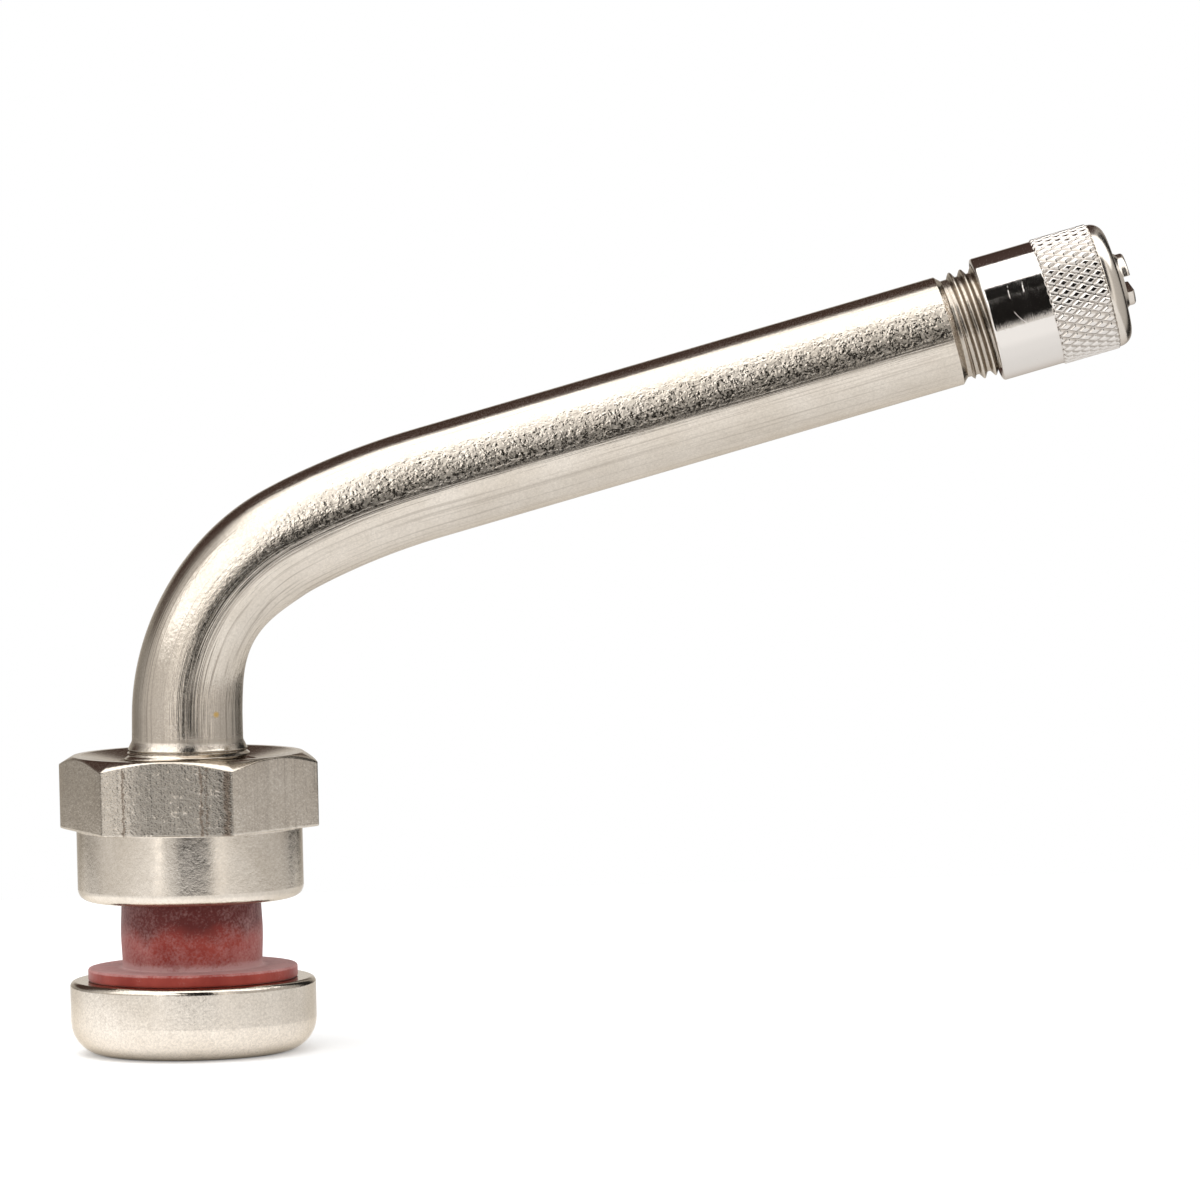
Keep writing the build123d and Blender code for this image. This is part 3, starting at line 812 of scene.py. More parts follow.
def cap_finish(place):
    """Bright nickel with fine turned rings and handling scratches, painted shade in the knurl's grooves, and
    duller on the end."""
    height = parts(place)[2]
    on_knurl = ramp(height, KNURL_START - 0.1, KNURL_START + 0.1)
    on_end = ramp(height, KNURL_END - 0.15, KNURL_END)
    marks = arc_scratch(place, *CAP_SCRATCHES[0])
    for scratch in CAP_SCRATCHES[1:]:
        marks = maths("MAXIMUM", marks, arc_scratch(place, *scratch))
    marks = marks * ramp(grouped(GRAIN, place, grain=0.22, seed=15.0), 0.6, 0.8)
    rings = mottle(vectors("MULTIPLY", place, (0.2, 0.2, 12.5)), 1.0, 2.0, 0.6)
    grain = grouped(GRAIN, place, grain=0.3, seed=7.0)

    normal = bumped(rings, 0.0015)
    normal = bumped(grain, 0.0025, normal)
    normal = bumped(marks, 0.01, normal)

    roughness = mixed(marks, mixed(ramp(grain, 0.5, 1.0), 0.05, 0.12), 0.5)
    roughness = mixed(on_knurl, roughness, 0.08)
    roughness = mixed(on_end, roughness, 0.2)

    colour = blended(on_end * 0.6, BRIGHT_NICKEL, NICKEL_STAINED)
    # Painted shade: darkens the bottoms of the knurl's grooves, where shade falls
    knurl_groove_shade = ramp(from_axis(place), KNURL_RADIUS - 0.05, KNURL_RADIUS - 0.11)
    knurl_groove_shade = knurl_groove_shade * maths("SUBTRACT", on_knurl, on_end, clamp=True)
    return blended(knurl_groove_shade * 0.55, colour, NICKEL_MARKS_AND_SHADE), roughness, normal


def silicone_finish(place):
    """Matt red silicone rubber with pale dust, least on the clean edge of the flange and heavier towards its
    left and right edges, partly as a painted sheen there; painted shade darkens it under the nut."""
    x, height = parts(place)[::2]
    tone = mottle(place, 0.45, 3.0)
    # Painted shade under the nut's skirt, a darker band at the top of the sleeve; the same mask thins the
    # dust there
    nut_skirt_shade = ramp((tone - 0.5) * 3.2 + height, NUT_BOTTOM - 2.9, NUT_BOTTOM - 1.2, smooth=True)
    # Dust heavier towards the left and right edges as the camera sees them: real dust, partly a painted
    # grazing sheen
    side = ramp(maths("ABSOLUTE", x), 0.35 * SLEEVE_RADIUS, SLEEVE_RADIUS)
    edge = ramp(height, -0.12, -0.2)
    corner = ramp(from_axis(place), SLEEVE_RADIUS + 0.45, SLEEVE_RADIUS + 0.05)
    corner = corner * ramp(height, 0.55, 0.2)
    amount = nut_skirt_shade * -0.15 + 0.58
    amount = amount + ramp(height, 1.6, 0.0) * 0.3 + side * 0.35
    amount = amount * (edge * -0.8 + 1.0) + corner * 0.6
    dust = grouped(DUST, place, patch=1.1, amount=amount)

    colour = blended(ramp(tone, 0.35, 0.65), SILICONE, SILICONE_LIGHT)
    # Painted shade under the nut
    colour = blended(nut_skirt_shade * 0.95, colour, SILICONE_PAINTED_SHADE)
    colour = blended(dust * mixed(corner, 0.55, 0.85), colour, DUST_COLOUR)
    normal = bumped(grouped(GRAIN, place, grain=0.35, seed=11.0), 0.02)
    return colour, mixed(dust, 0.5, 0.85), normal


def rubber_finish(place):
    """Black rubber with a faintly uneven skin."""
    dust = grouped(DUST, place, patch=1.2, amount=0.45)
    normal = bumped(grouped(GRAIN, place, grain=0.2, seed=5.0), 0.02)
    return blended(dust * 0.2, RUBBER, DUST_COLOUR), mixed(dust, 0.5, 0.8), normal


def brass_finish(place):
    """Turned brass for the core."""
    tone = mottle(place, 0.9, 3.0)
    normal = bumped(grouped(GRAIN, place, grain=0.2, seed=2.0), 0.01)
    return blended(ramp(tone, 0.35, 0.7), BRASS, BRASS_DARK), mixed(tone, 0.2, 0.36), normal


def steel_finish(place):
    """Drawn spring wire."""
    grain = grouped(GRAIN, place, grain=0.15, seed=9.0)
    return blended(ramp(grain, 0.4, 1.0), STEEL, STEEL_DARK), mixed(grain, 0.25, 0.4), bumped(grain, 0.005)


# Pieces


def middle_line():
    """The tube's middle line above the start of its bend, as a line of short straight steps."""

    def on_bend(centre, radius, angle):
        return centre + Vector((-math.cos(angle), 0, math.sin(angle))) * radius

    whole = TIGHT_BEND_ANGLE + GENTLE_BEND_ANGLE
    tight = Vector((TIGHT_BEND_RADIUS, 0, BEND_START))
    gentle = on_bend(tight, TIGHT_BEND_RADIUS - GENTLE_BEND_RADIUS, TIGHT_BEND_ANGLE)
    bends = [
        (tight, TIGHT_BEND_RADIUS, 0, TIGHT_BEND_ANGLE),
        (gentle, GENTLE_BEND_RADIUS, TIGHT_BEND_ANGLE, whole),
    ]
    points = [Vector((0, 0, BASE_BOTTOM)), Vector((0, 0, BEND_START))]
    for centre, radius, start, end in bends:
        points += [on_bend(centre, radius, angle) for angle in spread(start, end, MIDDLE_LINE_STEP / radius)]
    straight = Vector((math.sin(whole), 0, math.cos(whole)))
    points.append(points[-1] + straight * (MOUTH_HEIGHT - GENTLE_BEND_END))
    curve = bpy.data.curves.new("middle_line", "CURVE")
    curve.dimensions = "3D"
    spline = curve.splines.new("POLY")
    spline.points.add(len(points) - 1)
    for place, point in zip(spline.points, points):
        place.co = (*(point * MM), 1)
    return new_object("middle_line", curve)


def hump(value, low, high):
    """A smooth rise from 0 at low to 1 halfway and back to 0 at high."""
    if not low < value < high:
        return 0.0
    return math.sin(math.pi * (value - low) / (high - low)) ** 2


def thinned(radius, height):
    """The tube's radius by angle: bending thinned its outer side and flattened its inner."""
    outer = OUTER_THINNING * hump(height, BEND_START - 4, BEND_START + 17)
    inner = INNER_THINNING * hump(height, BEND_START + 0.5, BEND_START + 13.5)

    def at(angle):
        towards = math.cos(angle)
        return radius - (inner if towards > 0 else outer) * towards**2

    return at


def make_stem(material):
    """Base, neck, nut thread, bent tube and threaded tip, with the bores, all one piece."""
    groove_top = TUBE_END + TIP_GROOVE_WIDTH
    outer = [
        (AIR_BORE_MOUTH_RADIUS, BASE_BOTTOM, 0.1),
        (BASE_RADIUS, BASE_BOTTOM, BASE_BOTTOM_FILLET),
        (BASE_RADIUS, BASE_TOP, BASE_TOP_FILLET),
        (NECK_RADIUS, BASE_TOP, 0.1),
        (NECK_RADIUS, NECK_TOP),
        (STEM_THREAD_RADIUS, STEM_THREAD_BOTTOM),
        (STEM_THREAD_RADIUS, STEM_THREAD_TOP - 0.2, 0.05),
        (FOOT_GROOVE_RADIUS, STEM_THREAD_TOP + 0.05, 0.03),
        (FOOT_GROOVE_RADIUS, FOOT_RING_BOTTOM, 0.02),
        (FOOT_RING_RADIUS, FOOT_RING_BOTTOM + 0.05, 0.05),
        (FOOT_RING_RADIUS, FOOT_RING_TOP, 0.1),
        (TUBE_RADIUS, TUBE_START + 0.15, 0.5),
        (TUBE_RADIUS, TUBE_END - TUBE_END_CHAMFER, 0.06),
        (TIP_GROOVE_RADIUS + 0.05, TUBE_END),
        (TIP_GROOVE_RADIUS, TUBE_END + 0.06),
        (TIP_GROOVE_RADIUS, groove_top),
        (TUBE_RADIUS, groove_top + TUBE_END_CHAMFER),
        (TUBE_RADIUS, MOUTH_HEIGHT - TIP_MOUTH_CHAMFER, 0.05),
        (TUBE_RADIUS - TIP_MOUTH_CHAMFER, MOUTH_HEIGHT, 0.06),
    ]
    outer = rounded(outer, arc_steps=8)
    outer = rows_between(outer, STEM_THREAD_BOTTOM, STEM_THREAD_TOP, STEM_THREAD_PITCH / 14)
    outer = rows_between(outer, BEND_START - 2, GENTLE_BEND_END + 1, OUTER_BEND_ROWS)
    outer = rows_between(outer, TUBE_END, MOUTH_HEIGHT, TIP_THREAD_PITCH / 16)
    bore = [
        (CORE_THREAD_RADIUS + 0.25, MOUTH_HEIGHT, 0.06),
        (CORE_THREAD_RADIUS, MOUTH_HEIGHT - 0.25),
        (CORE_THREAD_RADIUS, MOUTH_HEIGHT - CORE_THREAD_END),
        (CHAMBER_RADIUS, MOUTH_HEIGHT - CHAMBER_TOP),
        (CHAMBER_RADIUS, MOUTH_HEIGHT - SEAT_DEPTH),
        (SEAT_SMALL_RADIUS, MOUTH_HEIGHT - SEAT_END),
        (SEAT_SMALL_RADIUS, MOUTH_HEIGHT - CHAMBER_END),
        (AIR_BORE_RADIUS, MOUTH_HEIGHT - CHAMBER_END - 0.5),
        (AIR_BORE_RADIUS, BASE_BOTTOM + AIR_BORE_MOUTH_RADIUS - AIR_BORE_RADIUS),
    ]
    thread_bottom = MOUTH_HEIGHT - CORE_THREAD_SHOWING
    bore = rows_between(rounded(bore), thread_bottom - 0.1, MOUTH_HEIGHT, CORE_THREAD_PITCH / 12)
    bore = rows_between(bore, BEND_START - 2, GENTLE_BEND_END + 1, BORE_BEND_ROWS)
    outer_angles = even_angles(144)
    rings = [circle(thinned(p.x, p.y), p.y, outer_angles) for p in outer]
    stem = skin("stem", rings + circles(bore, even_angles(48)))

    sizes = (STEM_THREAD_RADIUS, STEM_THREAD_DEPTH, STEM_THREAD_PITCH, STEM_THREAD_BOTTOM)
    thread(stem, material, *sizes, STEM_THREAD_TOP + 0.1, crest_height=STEM_THREAD_TOP)
    sizes = (TUBE_RADIUS, TIP_THREAD_DEPTH, TIP_THREAD_PITCH, TUBE_END + 0.05, MOUTH_HEIGHT + 1)
    thread(stem, material, *sizes, crest_height=TUBE_END + TIP_CREST_PAST_TUBE_END)
    sizes = (CORE_THREAD_RADIUS, CORE_THREAD_DEPTH, CORE_THREAD_PITCH, thread_bottom)
    thread(stem, material, *sizes, MOUTH_HEIGHT + 1, side=-1.0, reach=0.3)
    line = middle_line()
    shape(stem, LIE, material, line=line, line_start=BASE_BOTTOM)
    made_plain(stem)
    bpy.data.objects.remove(line)
    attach(stem, "stem")
    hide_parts("valve_stem")


def hexagon(columns=20, corner_columns=6):
    """Angles round the nut, closer together at its corners, and its radius at an angle."""
    half_face = math.radians(30)
    straight_half = (HEX_HALF_WIDTH - HEX_CORNER_ROUNDING) * math.tan(half_face)
    corner_angle = math.atan2(straight_half, HEX_HALF_WIDTH)
    centre = (HEX_HALF_WIDTH - HEX_CORNER_ROUNDING) / math.cos(half_face)

    def radius(angle):
        turn = (angle - math.radians(HEX_TURN)) % (2 * half_face) - half_face
        fall = HEX_FACE_FALL * min(1.0, abs(turn) / corner_angle) ** 8
        if abs(turn) < corner_angle:
            return HEX_HALF_WIDTH / math.cos(turn) - fall
        from_corner = half_face - abs(turn)
        out = centre * math.sin(from_corner)
        return centre * math.cos(from_corner) + math.sqrt(HEX_CORNER_ROUNDING**2 - out**2) - fall

    angles = []
    rounding = 2 * (half_face - corner_angle)
    for face in range(6):
        middle = math.radians(HEX_TURN + 30 + 60 * face)
        angles += [middle + a for a in spread(-corner_angle, corner_angle, 2 * corner_angle / columns)]
        angles += [middle + corner_angle + a for a in spread(0, rounding, rounding / corner_columns)]
    return angles, radius


def make_nut(material):
    """Crowned hexagon over a round skirt, hollow for the grommet, threaded for the stem."""
    angles, hexagon_radius = hexagon()

    def within(edge):
        return lambda angle: hexagon_radius(angle) - edge

    def crown_inner(angle):
        return min(CROWN_RADIUS, hexagon_radius(angle) - 0.06)

    def crown_fall(angle):
        return NUT_TOP - (hexagon_radius(angle) - crown_inner(angle)) * CROWN_SLOPE

    def wall(share):
        bottom = HEX_BOTTOM + FINE_EDGE
        return lambda angle: bottom + (crown_fall(angle) - 0.05 - bottom) * share

    skirt = [
        (SKIRT_BORE_RADIUS, HEX_BOTTOM, 0.2),
        (SKIRT_BORE_RADIUS, NUT_BOTTOM, 0.1),
        (SKIRT_RADIUS, NUT_BOTTOM, SKIRT_EDGE_FILLET),
        (SKIRT_RADIUS, HEX_BOTTOM, 0.08),
        (HEX_HALF_WIDTH + 0.1, HEX_BOTTOM),
    ]
    rings = circles(rounded(skirt, arc_steps=8)[:-1], angles)
    rings.append(circle(within(FINE_EDGE), HEX_BOTTOM, angles))
    rings.append(circle(within(FINE_EDGE * 0.3), HEX_BOTTOM + FINE_EDGE * 0.3, angles))
    rings += [circle(hexagon_radius, wall(share), angles) for share in (0, 0.02, 0.25, 0.5, 0.75, 0.97, 1)]
    rings.append(circle(within(0.02), crown_fall, angles))
    rings += [circle(lambda a: crown_inner(a) + edge, NUT_TOP, angles) for edge in (0.02, -0.02)]
    dish = [
        (CROWN_RADIUS - 0.2, NUT_TOP),
        (DISH_RADIUS, NUT_TOP, 0.08),
        (NUT_THREAD_RADIUS + NUT_LEAD_IN, NUT_TOP - DISH_DEPTH, 0.1),
        (NUT_THREAD_RADIUS, NUT_TOP - DISH_DEPTH - NUT_LEAD_IN),
        (NUT_THREAD_RADIUS, HEX_BOTTOM, 0.05),
        (SKIRT_BORE_RADIUS, HEX_BOTTOM),
    ]
    dish = rows_between(rounded(dish)[1:-1], HEX_BOTTOM, NUT_TOP - DISH_DEPTH, STEM_THREAD_PITCH / 12)
    nut = skin("nut", rings + circles(dish, angles))
    nut_thread = (NUT_THREAD_RADIUS, NUT_THREAD_DEPTH, STEM_THREAD_PITCH, HEX_BOTTOM, NUT_TOP)
    crest_height = STEM_THREAD_TOP + 0.5 * STEM_THREAD_PITCH
    thread(nut, material, *nut_thread, crest_height=crest_height, side=-1.0, reach=0.5)
    made_plain(nut)
    keep_turned_place(nut.data)
    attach(nut, "nut")
    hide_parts("clamp_nut")


def make_grommet(material):
    """Thin flange under the rim and a sleeve up into the nut, uneven as moulded rubber is."""
    profile = [
        (GROMMET_BORE_RADIUS, BASE_TOP),
        (FLANGE_RADIUS, BASE_TOP, FLANGE_EDGE_FILLET),
        (FLANGE_RADIUS, 0.0, FLANGE_EDGE_FILLET),
        (SLEEVE_RADIUS, 0.0, 0.12),
        (SLEEVE_RADIUS, SLEEVE_TOP, 0.05),
        (GROMMET_STRETCHED_RADIUS, SLEEVE_TOP),
        (GROMMET_STRETCHED_RADIUS, STEM_THREAD_BOTTOM),
        (GROMMET_BORE_RADIUS, NECK_TOP),
    ]
    profile = rows_between(rounded(profile, arc_steps=6), 0.1, SLEEVE_TOP - 0.1, 0.3)
    rings = circles(profile, even_angles(160))
    for p, ring in zip(profile, rings):
        swell = SLEEVE_BULGE * hump(p.y, 0, NUT_BOTTOM) if p.x < FLANGE_RADIUS - 1 else 0
        waviness = GROMMET_WAVINESS if p.x > SLEEVE_RADIUS + 1 else 0
        for point in ring:
            if p.x >= SLEEVE_RADIUS - 0.3:
                wave = noise.noise(point / GROMMET_WAVE_LENGTH) * waviness
                point += Vector((point.x, point.y, 0)).normalized() * (swell + wave)
    grommet = skin("grommet_rubber", rings)
    grommet.data.materials.append(material)
    keep_turned_place(grommet.data)
    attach(grommet, "stem")
    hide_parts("grommet")


def make_cap(material):
    """Threaded shell with a knurled band, and a slotted stub on its end."""
    bore = [
        (0.0, CAP_BORE_DEPTH),
        (CAP_BORE_RADIUS, CAP_BORE_DEPTH, 0.1),
        (CAP_BORE_RADIUS, 0.35),
        (CAP_BORE_RADIUS + 0.2, 0.0),
    ]
    bore = rows_between(rounded(bore), 0.0, CAP_BORE_DEPTH, TIP_THREAD_PITCH / 12)
    wall = [
        (CAP_BORE_RADIUS + 0.1, 0.0),
        (CAP_RADIUS, 0.0, 0.2),
        (CAP_RADIUS, KNURL_START - 0.08),
        (CAP_RADIUS, KNURL_START),
        (KNURL_RADIUS, KNURL_START + 0.1),
        (KNURL_RADIUS, KNURL_END - 0.1),
        (CAP_RADIUS, KNURL_END),
        (CAP_RADIUS, CAP_LENGTH, CAP_CORNER_RADIUS),
        (STUB_RADIUS + STUB_RING_WIDTH, CAP_LENGTH),
    ]
    wall = rows_between(rounded(wall, arc_steps=8)[:-1], KNURL_START - 0.01, KNURL_END + 0.01, KNURL_ROWS)
    end = [
        (CAP_RADIUS - CAP_CORNER_RADIUS, CAP_LENGTH),
        (STUB_RADIUS + STUB_RING_WIDTH, CAP_LENGTH, 0.05),
        (STUB_RADIUS + STUB_FLARE_WIDTH, CAP_LENGTH - STUB_RING_DEPTH / 2),
        (STUB_RADIUS + STUB_FLARE_WIDTH, CAP_LENGTH + 0.05, 0.05),
        (STUB_RADIUS, CAP_LENGTH + STUB_FLARE_HEIGHT, 0.25),
        (STUB_RADIUS, STUB_TOP, 0.2),
        (0.0, STUB_TOP),
    ]
    coarse = even_angles(KNURL_COUNT * 3)
    fine = even_angles(KNURL_COUNT * 15)
    rings = circles(bore, coarse) + circles(wall, fine) + circles(rounded(end)[1:], coarse)
    cap = skin("cap", rings)
    cut_slot(cap)
    cap_thread = (CAP_BORE_RADIUS, CAP_THREAD_DEPTH, TIP_THREAD_PITCH, -1.0, CAP_BORE_DEPTH - 0.3)
    thread(cap, material, *cap_thread, crest_height=0.3, side=-1.0, reach=0.3)
    shape(
        cap,
        KNURL,
        material,
        radius=KNURL_RADIUS,
        count=float(KNURL_COUNT),
        angle=KNURL_ANGLE,
        depth=KNURL_DEPTH,
        groove_share=KNURL_GROOVE_SHARE,
        start=KNURL_START,
        end=KNURL_END,
        reach=0.2,
    )
    made_plain(cap)
    put_on_tip(cap, CAP_THREAD_SHOWING - TIP_THREAD_LENGTH)
    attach(cap, "cap")
    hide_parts("valve_cap")


def cut_slot(cap):
    """Cuts the slot across the cap's stub, while the cap is still a plain closed skin."""
    bm = bmesh.new()
    bmesh.ops.create_cube(bm, size=1)
    size = Vector((4 * STUB_RADIUS, SLOT_WIDTH, 2 * SLOT_DEPTH)) * MM
    middle = Matrix.Translation((0, 0, STUB_TOP * MM))
    turn = Matrix.Rotation(SLOT_TURN, 4, "Z")
    bmesh.ops.transform(bm, matrix=middle @ turn @ Matrix.Diagonal((*size, 1)), verts=bm.verts)
    mesh = bpy.data.meshes.new("slot")
    bm.to_mesh(mesh)
    bm.free()
    cutter = new_object("slot", mesh)
    cut = cap.modifiers.new("slot", "BOOLEAN")
    cut.operation = "DIFFERENCE"
    cut.object = cutter
    cut.solver = "EXACT"
    made_plain(cap)
    bpy.data.objects.remove(cutter)


def rubber_ring(name, profile, sides, material):
    """A turned rubber piece on the tip's axis, heights counted from the mouth."""
    ring = skin(name, circles(rounded(profile), even_angles(sides)))
    ring.data.materials.append(material)
    put_on_tip(ring, 0)
    return ring


def make_cap_gasket(material):
    profile = [
        (0.0, 0.0),
        (CAP_GASKET_RADIUS, 0.0, 0.2),
        (CAP_GASKET_RADIUS, CAP_GASKET_THICKNESS, 0.2),
        (0.0, CAP_GASKET_THICKNESS),
    ]
    gasket = rubber_ring("cap_gasket_rubber", profile, 96, material)
    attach(gasket, "cap_seal")
    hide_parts("cap_gasket")


def make_taper_gasket(material):
    bottom_radius = TAPER_TOP_RADIUS - (TAPER_BOTTOM - SEAT_DEPTH) * (CHAMBER_RADIUS - SEAT_SMALL_RADIUS) / 2
    profile = [
        (TAPER_BORE_RADIUS, -TAPER_TOP, 0.08),
        (TAPER_TOP_RADIUS, -TAPER_TOP, 0.12),
        (TAPER_TOP_RADIUS, -SEAT_DEPTH),
        (bottom_radius, -TAPER_BOTTOM, 0.08),
        (TAPER_BORE_RADIUS, -TAPER_BOTTOM, 0.08),
    ]
    gasket = rubber_ring("taper_gasket_rubber", profile, 64, material)
    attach(gasket, "stem")
    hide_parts("core_barrel_gasket")


def make_cup_seal(material):
    profile = [
        (CUP_SEAL_BORE_RADIUS, -CUP_SEAL_TOP, 0.06),
        (CUP_SEAL_RADIUS, -CUP_SEAL_TOP, 0.12),
        (CUP_SEAL_RADIUS, -CUP_SEAL_BOTTOM, 0.06),
        (CUP_SEAL_BORE_RADIUS, -CUP_SEAL_BOTTOM, 0.06),
    ]
    seal = rubber_ring("cup_seal_rubber", profile, 64, material)
    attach(seal, "core_plunger")
    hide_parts("core_cup_seal")


def make_spring(material):
    spring = new_object("spring_wire", bpy.data.meshes.new("spring_wire"))
    sizes = {"turns": SPRING_TURNS, "radius": SPRING_RADIUS, "wire_radius": SPRING_WIRE_RADIUS}
    shape(spring, COIL, material, height=SPRING_LENGTH, **sizes)
    made_plain(spring)
    spring.data.shade_smooth()
    put_on_tip(spring, -SPRING_BOTTOM_DEPTH)
    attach(spring, "stem")
    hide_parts("core_spring")
    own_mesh(spring)


def dress_core(material):
    """The core's hard pieces keep their solids and take their finish."""
    for name in ("core_plug", "core_barrel", "core_pin", "core_cup"):
        mesh = frame["nodes"][name].data
        mesh.materials.clear()
        mesh.materials.append(material)


# Room


def seen_straight(rays):
    """1 for rays that show a thing to the camera, straight or by way of metal or glass."""
    both = rays["Is Camera Ray"] + rays["Is Glossy Ray"]
    return maths("ADD", both, rays["Is Transmission Ray"], clamp=True)


def make_floor():
    """White paper under the base. What glows adds nothing to the light on the valve."""
    mesh = bpy.data.meshes.new("floor")
    edges = [(-1, FLOOR_FRONT_EDGE), (1, FLOOR_FRONT_EDGE), (1, FLOOR_REACH), (-1, FLOOR_REACH)]
    corners = [Vector((side * FLOOR_REACH, y, BASE_BOTTOM)) * MM for side, y in edges]
    mesh.from_pydata(corners, [], [(0, 1, 2, 3)])
    floor = new_object("floor", mesh)
    material = bpy.data.materials.new("white paper")
    material.use_nodes = True
    tree = material.node_tree
    tree.nodes.clear()
    rays = outputs(add("ShaderNodeLightPath", tree=tree))
    place = millimetres(add("ShaderNodeTexCoord", output="Object", tree=tree))
    away = vectors("DISTANCE", place, (FLOOR_SPOT_X, 0, BASE_BOTTOM))
    glow = mixed(ramp(away, *SPOT_FADE, smooth=True), 0.65, 0.1)
    glow = ramp(parts(place)[1], *FRONT_FADE, smooth=True) * 0.13 + glow
    glow = glow * ramp(from_axis(place), *BASE_FADE, smooth=True)
    glow = mixed(rays["Is Glossy Ray"], 0.25, glow)
    paper = add("ShaderNodeBsdfDiffuse", {"Color": opaque(PAPER)}, tree=tree)
    light = add("ShaderNodeEmission", {"Color": opaque(WHITE), "Strength": seen_straight(rays) * glow})
    both = add("ShaderNodeAddShader", {0: paper, 1: light})
    fill(tree.nodes.new("ShaderNodeOutputMaterial"), {"Surface": both})
    mesh.materials.append(material)


def between(value, low, high, soft):
    """1 where value is from low to high, fading over soft at each end."""
    rise = ramp(value, low - soft, low + soft, smooth=True)
    return rise * (1.0 - ramp(value, high - soft, high + soft, smooth=True))


def ring_of_light(around, stops):
    """A level that follows the direction round Z. stops are pairs of degrees and level."""
    colour = add("ShaderNodeValToRGB", {0: around * (1 / 360) + 0.5})
    elements = colour.socket.node.color_ramp.elements
    for degrees, level in stops:
        elements.new(degrees / 360 + 0.5).color = (level * 0.5, level * 0.5, level * 0.5, 1)
    elements.remove(elements[0])
    elements.remove(elements[-1])
    return colour * 2.0


def make_world():
    """Even white light. Metal sees a studio: a dark gap in front with the camera in it, a
    bright sheet overhead, a light at the front left, a brown gap behind, pale sides."""
    world = bpy.data.worlds.new("studio")
    bpy.context.scene.world = world
    world.use_nodes = True
    world.cycles.sampling_method = "NONE"
    tree = world.node_tree
    tree.nodes.clear()
    x, y, z = parts(add("ShaderNodeTexCoord", output="Generated", tree=tree))
    around = maths("DEGREES", maths("ARCTAN2", x, y * -1.0))
    climb = maths("DEGREES", maths("ARCSINE", z))
    sides = ring_of_light(around, SIDE_LEVELS)
    colour = vectors("SCALE", SIDE_TINT, sides)
    behind = maths("MAXIMUM", ramp(around, -105, -135, smooth=True), ramp(around, 155, 172, smooth=True))
    colour = blended(behind * between(climb, 13, 90, 3), colour, BROWN_GAP)
    for paint, left, right, low, high, soft in STUDIO_PATCHES:
        patch = between(around, left, right, soft) * between(climb, low, high, soft)
        colour = blended(patch, colour, paint)
    level = maths("MAXIMUM", z, 0.05)
    sheet = between(x / level, *SHEET_ACROSS, 0.25) * between(y / level, *SHEET_DEPTH, 0.04)
    colour = blended(sheet * ramp(z, 0.05, 0.1), colour, SHEET_LIGHT)
    rays = outputs(add("ShaderNodeLightPath", tree=tree))
    colour = blended(rays["Is Glossy Ray"], WHITE, colour)
    light = add("ShaderNodeBackground", {"Color": opaque(WHITE), "Strength": 0.85}, tree=tree)
    sight = add("ShaderNodeBackground", {"Color": colour})
    both = add("ShaderNodeMixShader", {0: seen_straight(rays), 1: light, 2: sight})
    fill(tree.nodes.new("ShaderNodeOutputWorld"), {"Surface": both})


def make_lamp():
    lamp = bpy.data.lights.new("overhead", "AREA")
    lamp.shape = "RECTANGLE"
    lamp.size, lamp.size_y = LAMP_SIZE * MM
    lamp.energy = LAMP_POWER
    obj = new_object("overhead", lamp)
    obj.location = LAMP_PLACE * MM
    obj.rotation_euler = LAMP_PLACE.to_track_quat("Z", "Y").to_euler()
    obj.visible_glossy = False
    obj.visible_camera = False


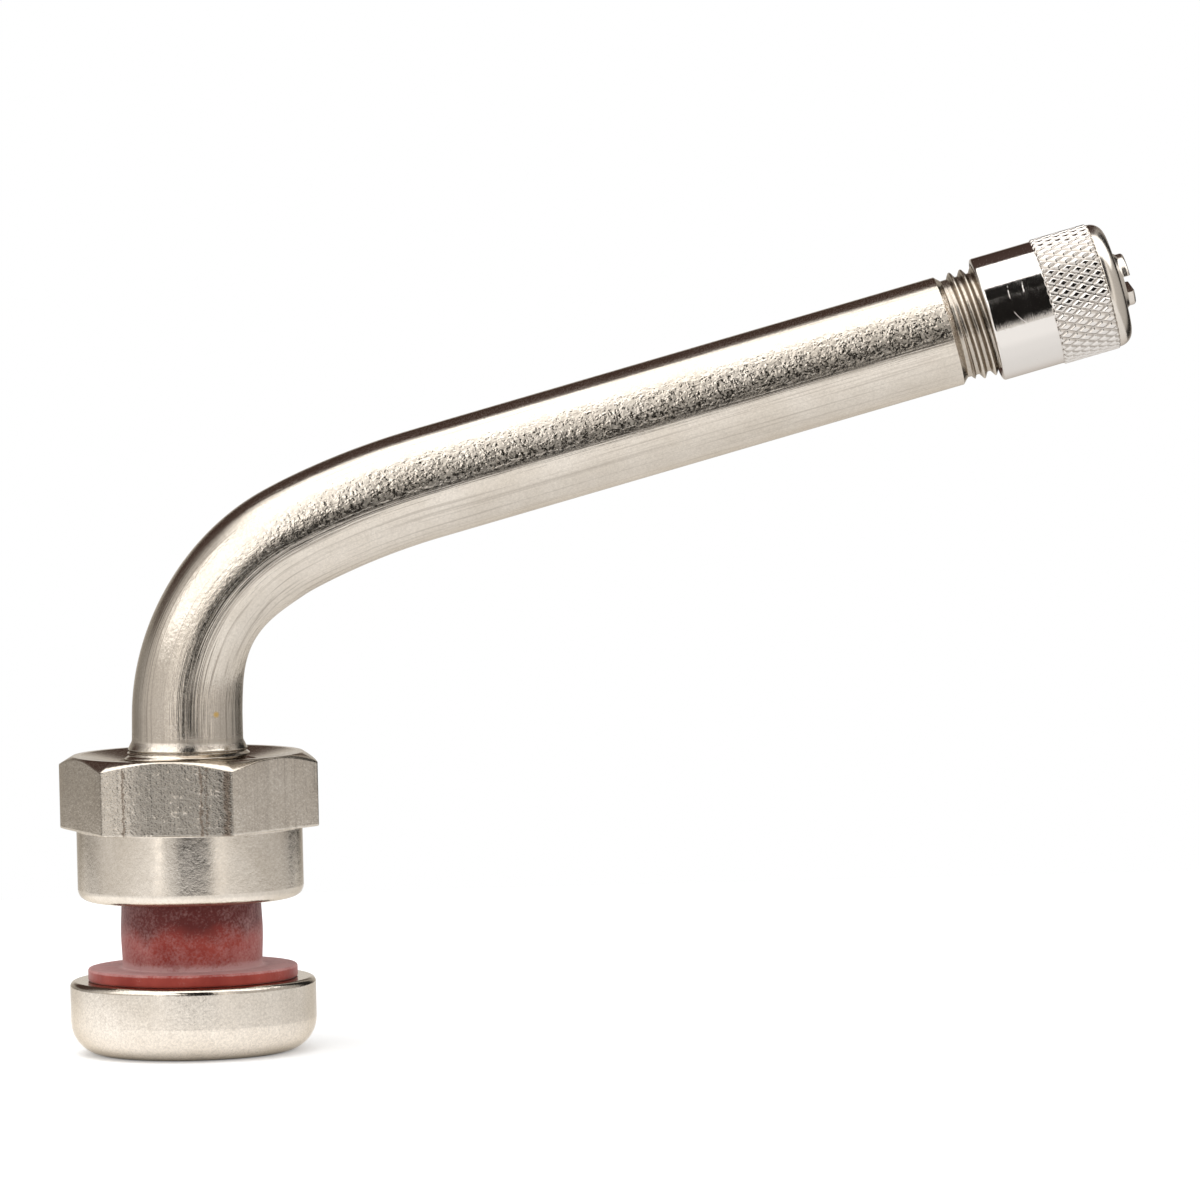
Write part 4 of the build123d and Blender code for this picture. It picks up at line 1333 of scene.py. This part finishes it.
def make_camera():
    forward = (CAMERA_AIM - CAMERA_PLACE).normalized()
    level = forward.cross(Vector((0, 0, 1))).normalized()
    above = level.cross(forward)
    right = level * math.cos(CAMERA_ROLL) + above * math.sin(CAMERA_ROLL)
    up = above * math.cos(CAMERA_ROLL) - level * math.sin(CAMERA_ROLL)
    data = bpy.data.cameras.new("camera")
    data.sensor_width = SENSOR_WIDTH
    data.lens = SENSOR_WIDTH * FOCAL_PIXELS / PICTURE_WIDTH
    data.clip_start = 0.01
    data.clip_end = 10
    camera = new_object("camera", data)
    matrix = Matrix((right, up, -forward)).transposed().to_4x4()
    matrix.translation = CAMERA_PLACE * MM
    camera.matrix_world = matrix
    bpy.context.scene.camera = camera
    bpy.context.scene.view_settings.view_transform = "Standard"


THREAD = shaping(
    "cut thread",
    cut_thread,
    crest_radius=4.0,
    depth=0.4,
    pitch=0.8,
    crest_height=0.0,
    start=0.0,
    end=10.0,
    run_out=0.3,
    crest_share=0.12,
    root_share=0.26,
    side=1.0,
    reach=0.8,
)
KNURL = shaping(
    "cut knurl",
    cut_knurl,
    radius=4.0,
    count=40.0,
    angle=0.5,
    depth=0.1,
    groove_share=0.4,
    start=0.0,
    end=4.0,
    reach=0.3,
)
LIE = shaping("lie along line", lie_along, line="Object", line_start=0.0)
COIL = shaping("coil spring", wind_coil, turns=7.0, radius=1.0, height=8.0, wire_radius=0.15)
GRAIN = effect("tumbled grain", "Height", tumbled_grain, grain=0.22, seed=0.0, detail=2.0)
LINES = effect("drawn lines", "Height", drawn_lines, spacing=0.2, length=20.0)
DUST = effect("dust", "Mask", loose_dust, patch=2.0, amount=0.5)

make_camera()
make_world()
make_lamp()
make_floor()
NICKEL_TINT = {"Specular Tint": opaque(NICKEL_EDGE)}
BRIGHT_TINT = {"Specular Tint": opaque(BRIGHT_NICKEL_EDGE)}
MATT = {"Specular IOR Level": 0.25, "Sheen Weight": 0.25, "Sheen Roughness": 0.4}
silicone = finished("red silicone", silicone_finish, SILICONE, 0.0, 0.55, MATT)
rubber = finished("black rubber", rubber_finish, RUBBER, 0.0, 0.6)
make_stem(finished("stem nickel", stem_finish, NICKEL, 1.0, 0.2, NICKEL_TINT))
make_nut(finished("nut nickel", nut_finish, NICKEL, 1.0, 0.24, NICKEL_TINT))
make_grommet(silicone)
make_cap(finished("bright nickel", cap_finish, BRIGHT_NICKEL, 1.0, 0.06, BRIGHT_TINT))
make_cap_gasket(rubber)
make_taper_gasket(silicone)
make_cup_seal(rubber)
make_spring(finished("spring steel", steel_finish, STEEL, 1.0, 0.3))
dress_core(finished("core brass", brass_finish, BRASS, 1.0, 0.25, on_object=True))
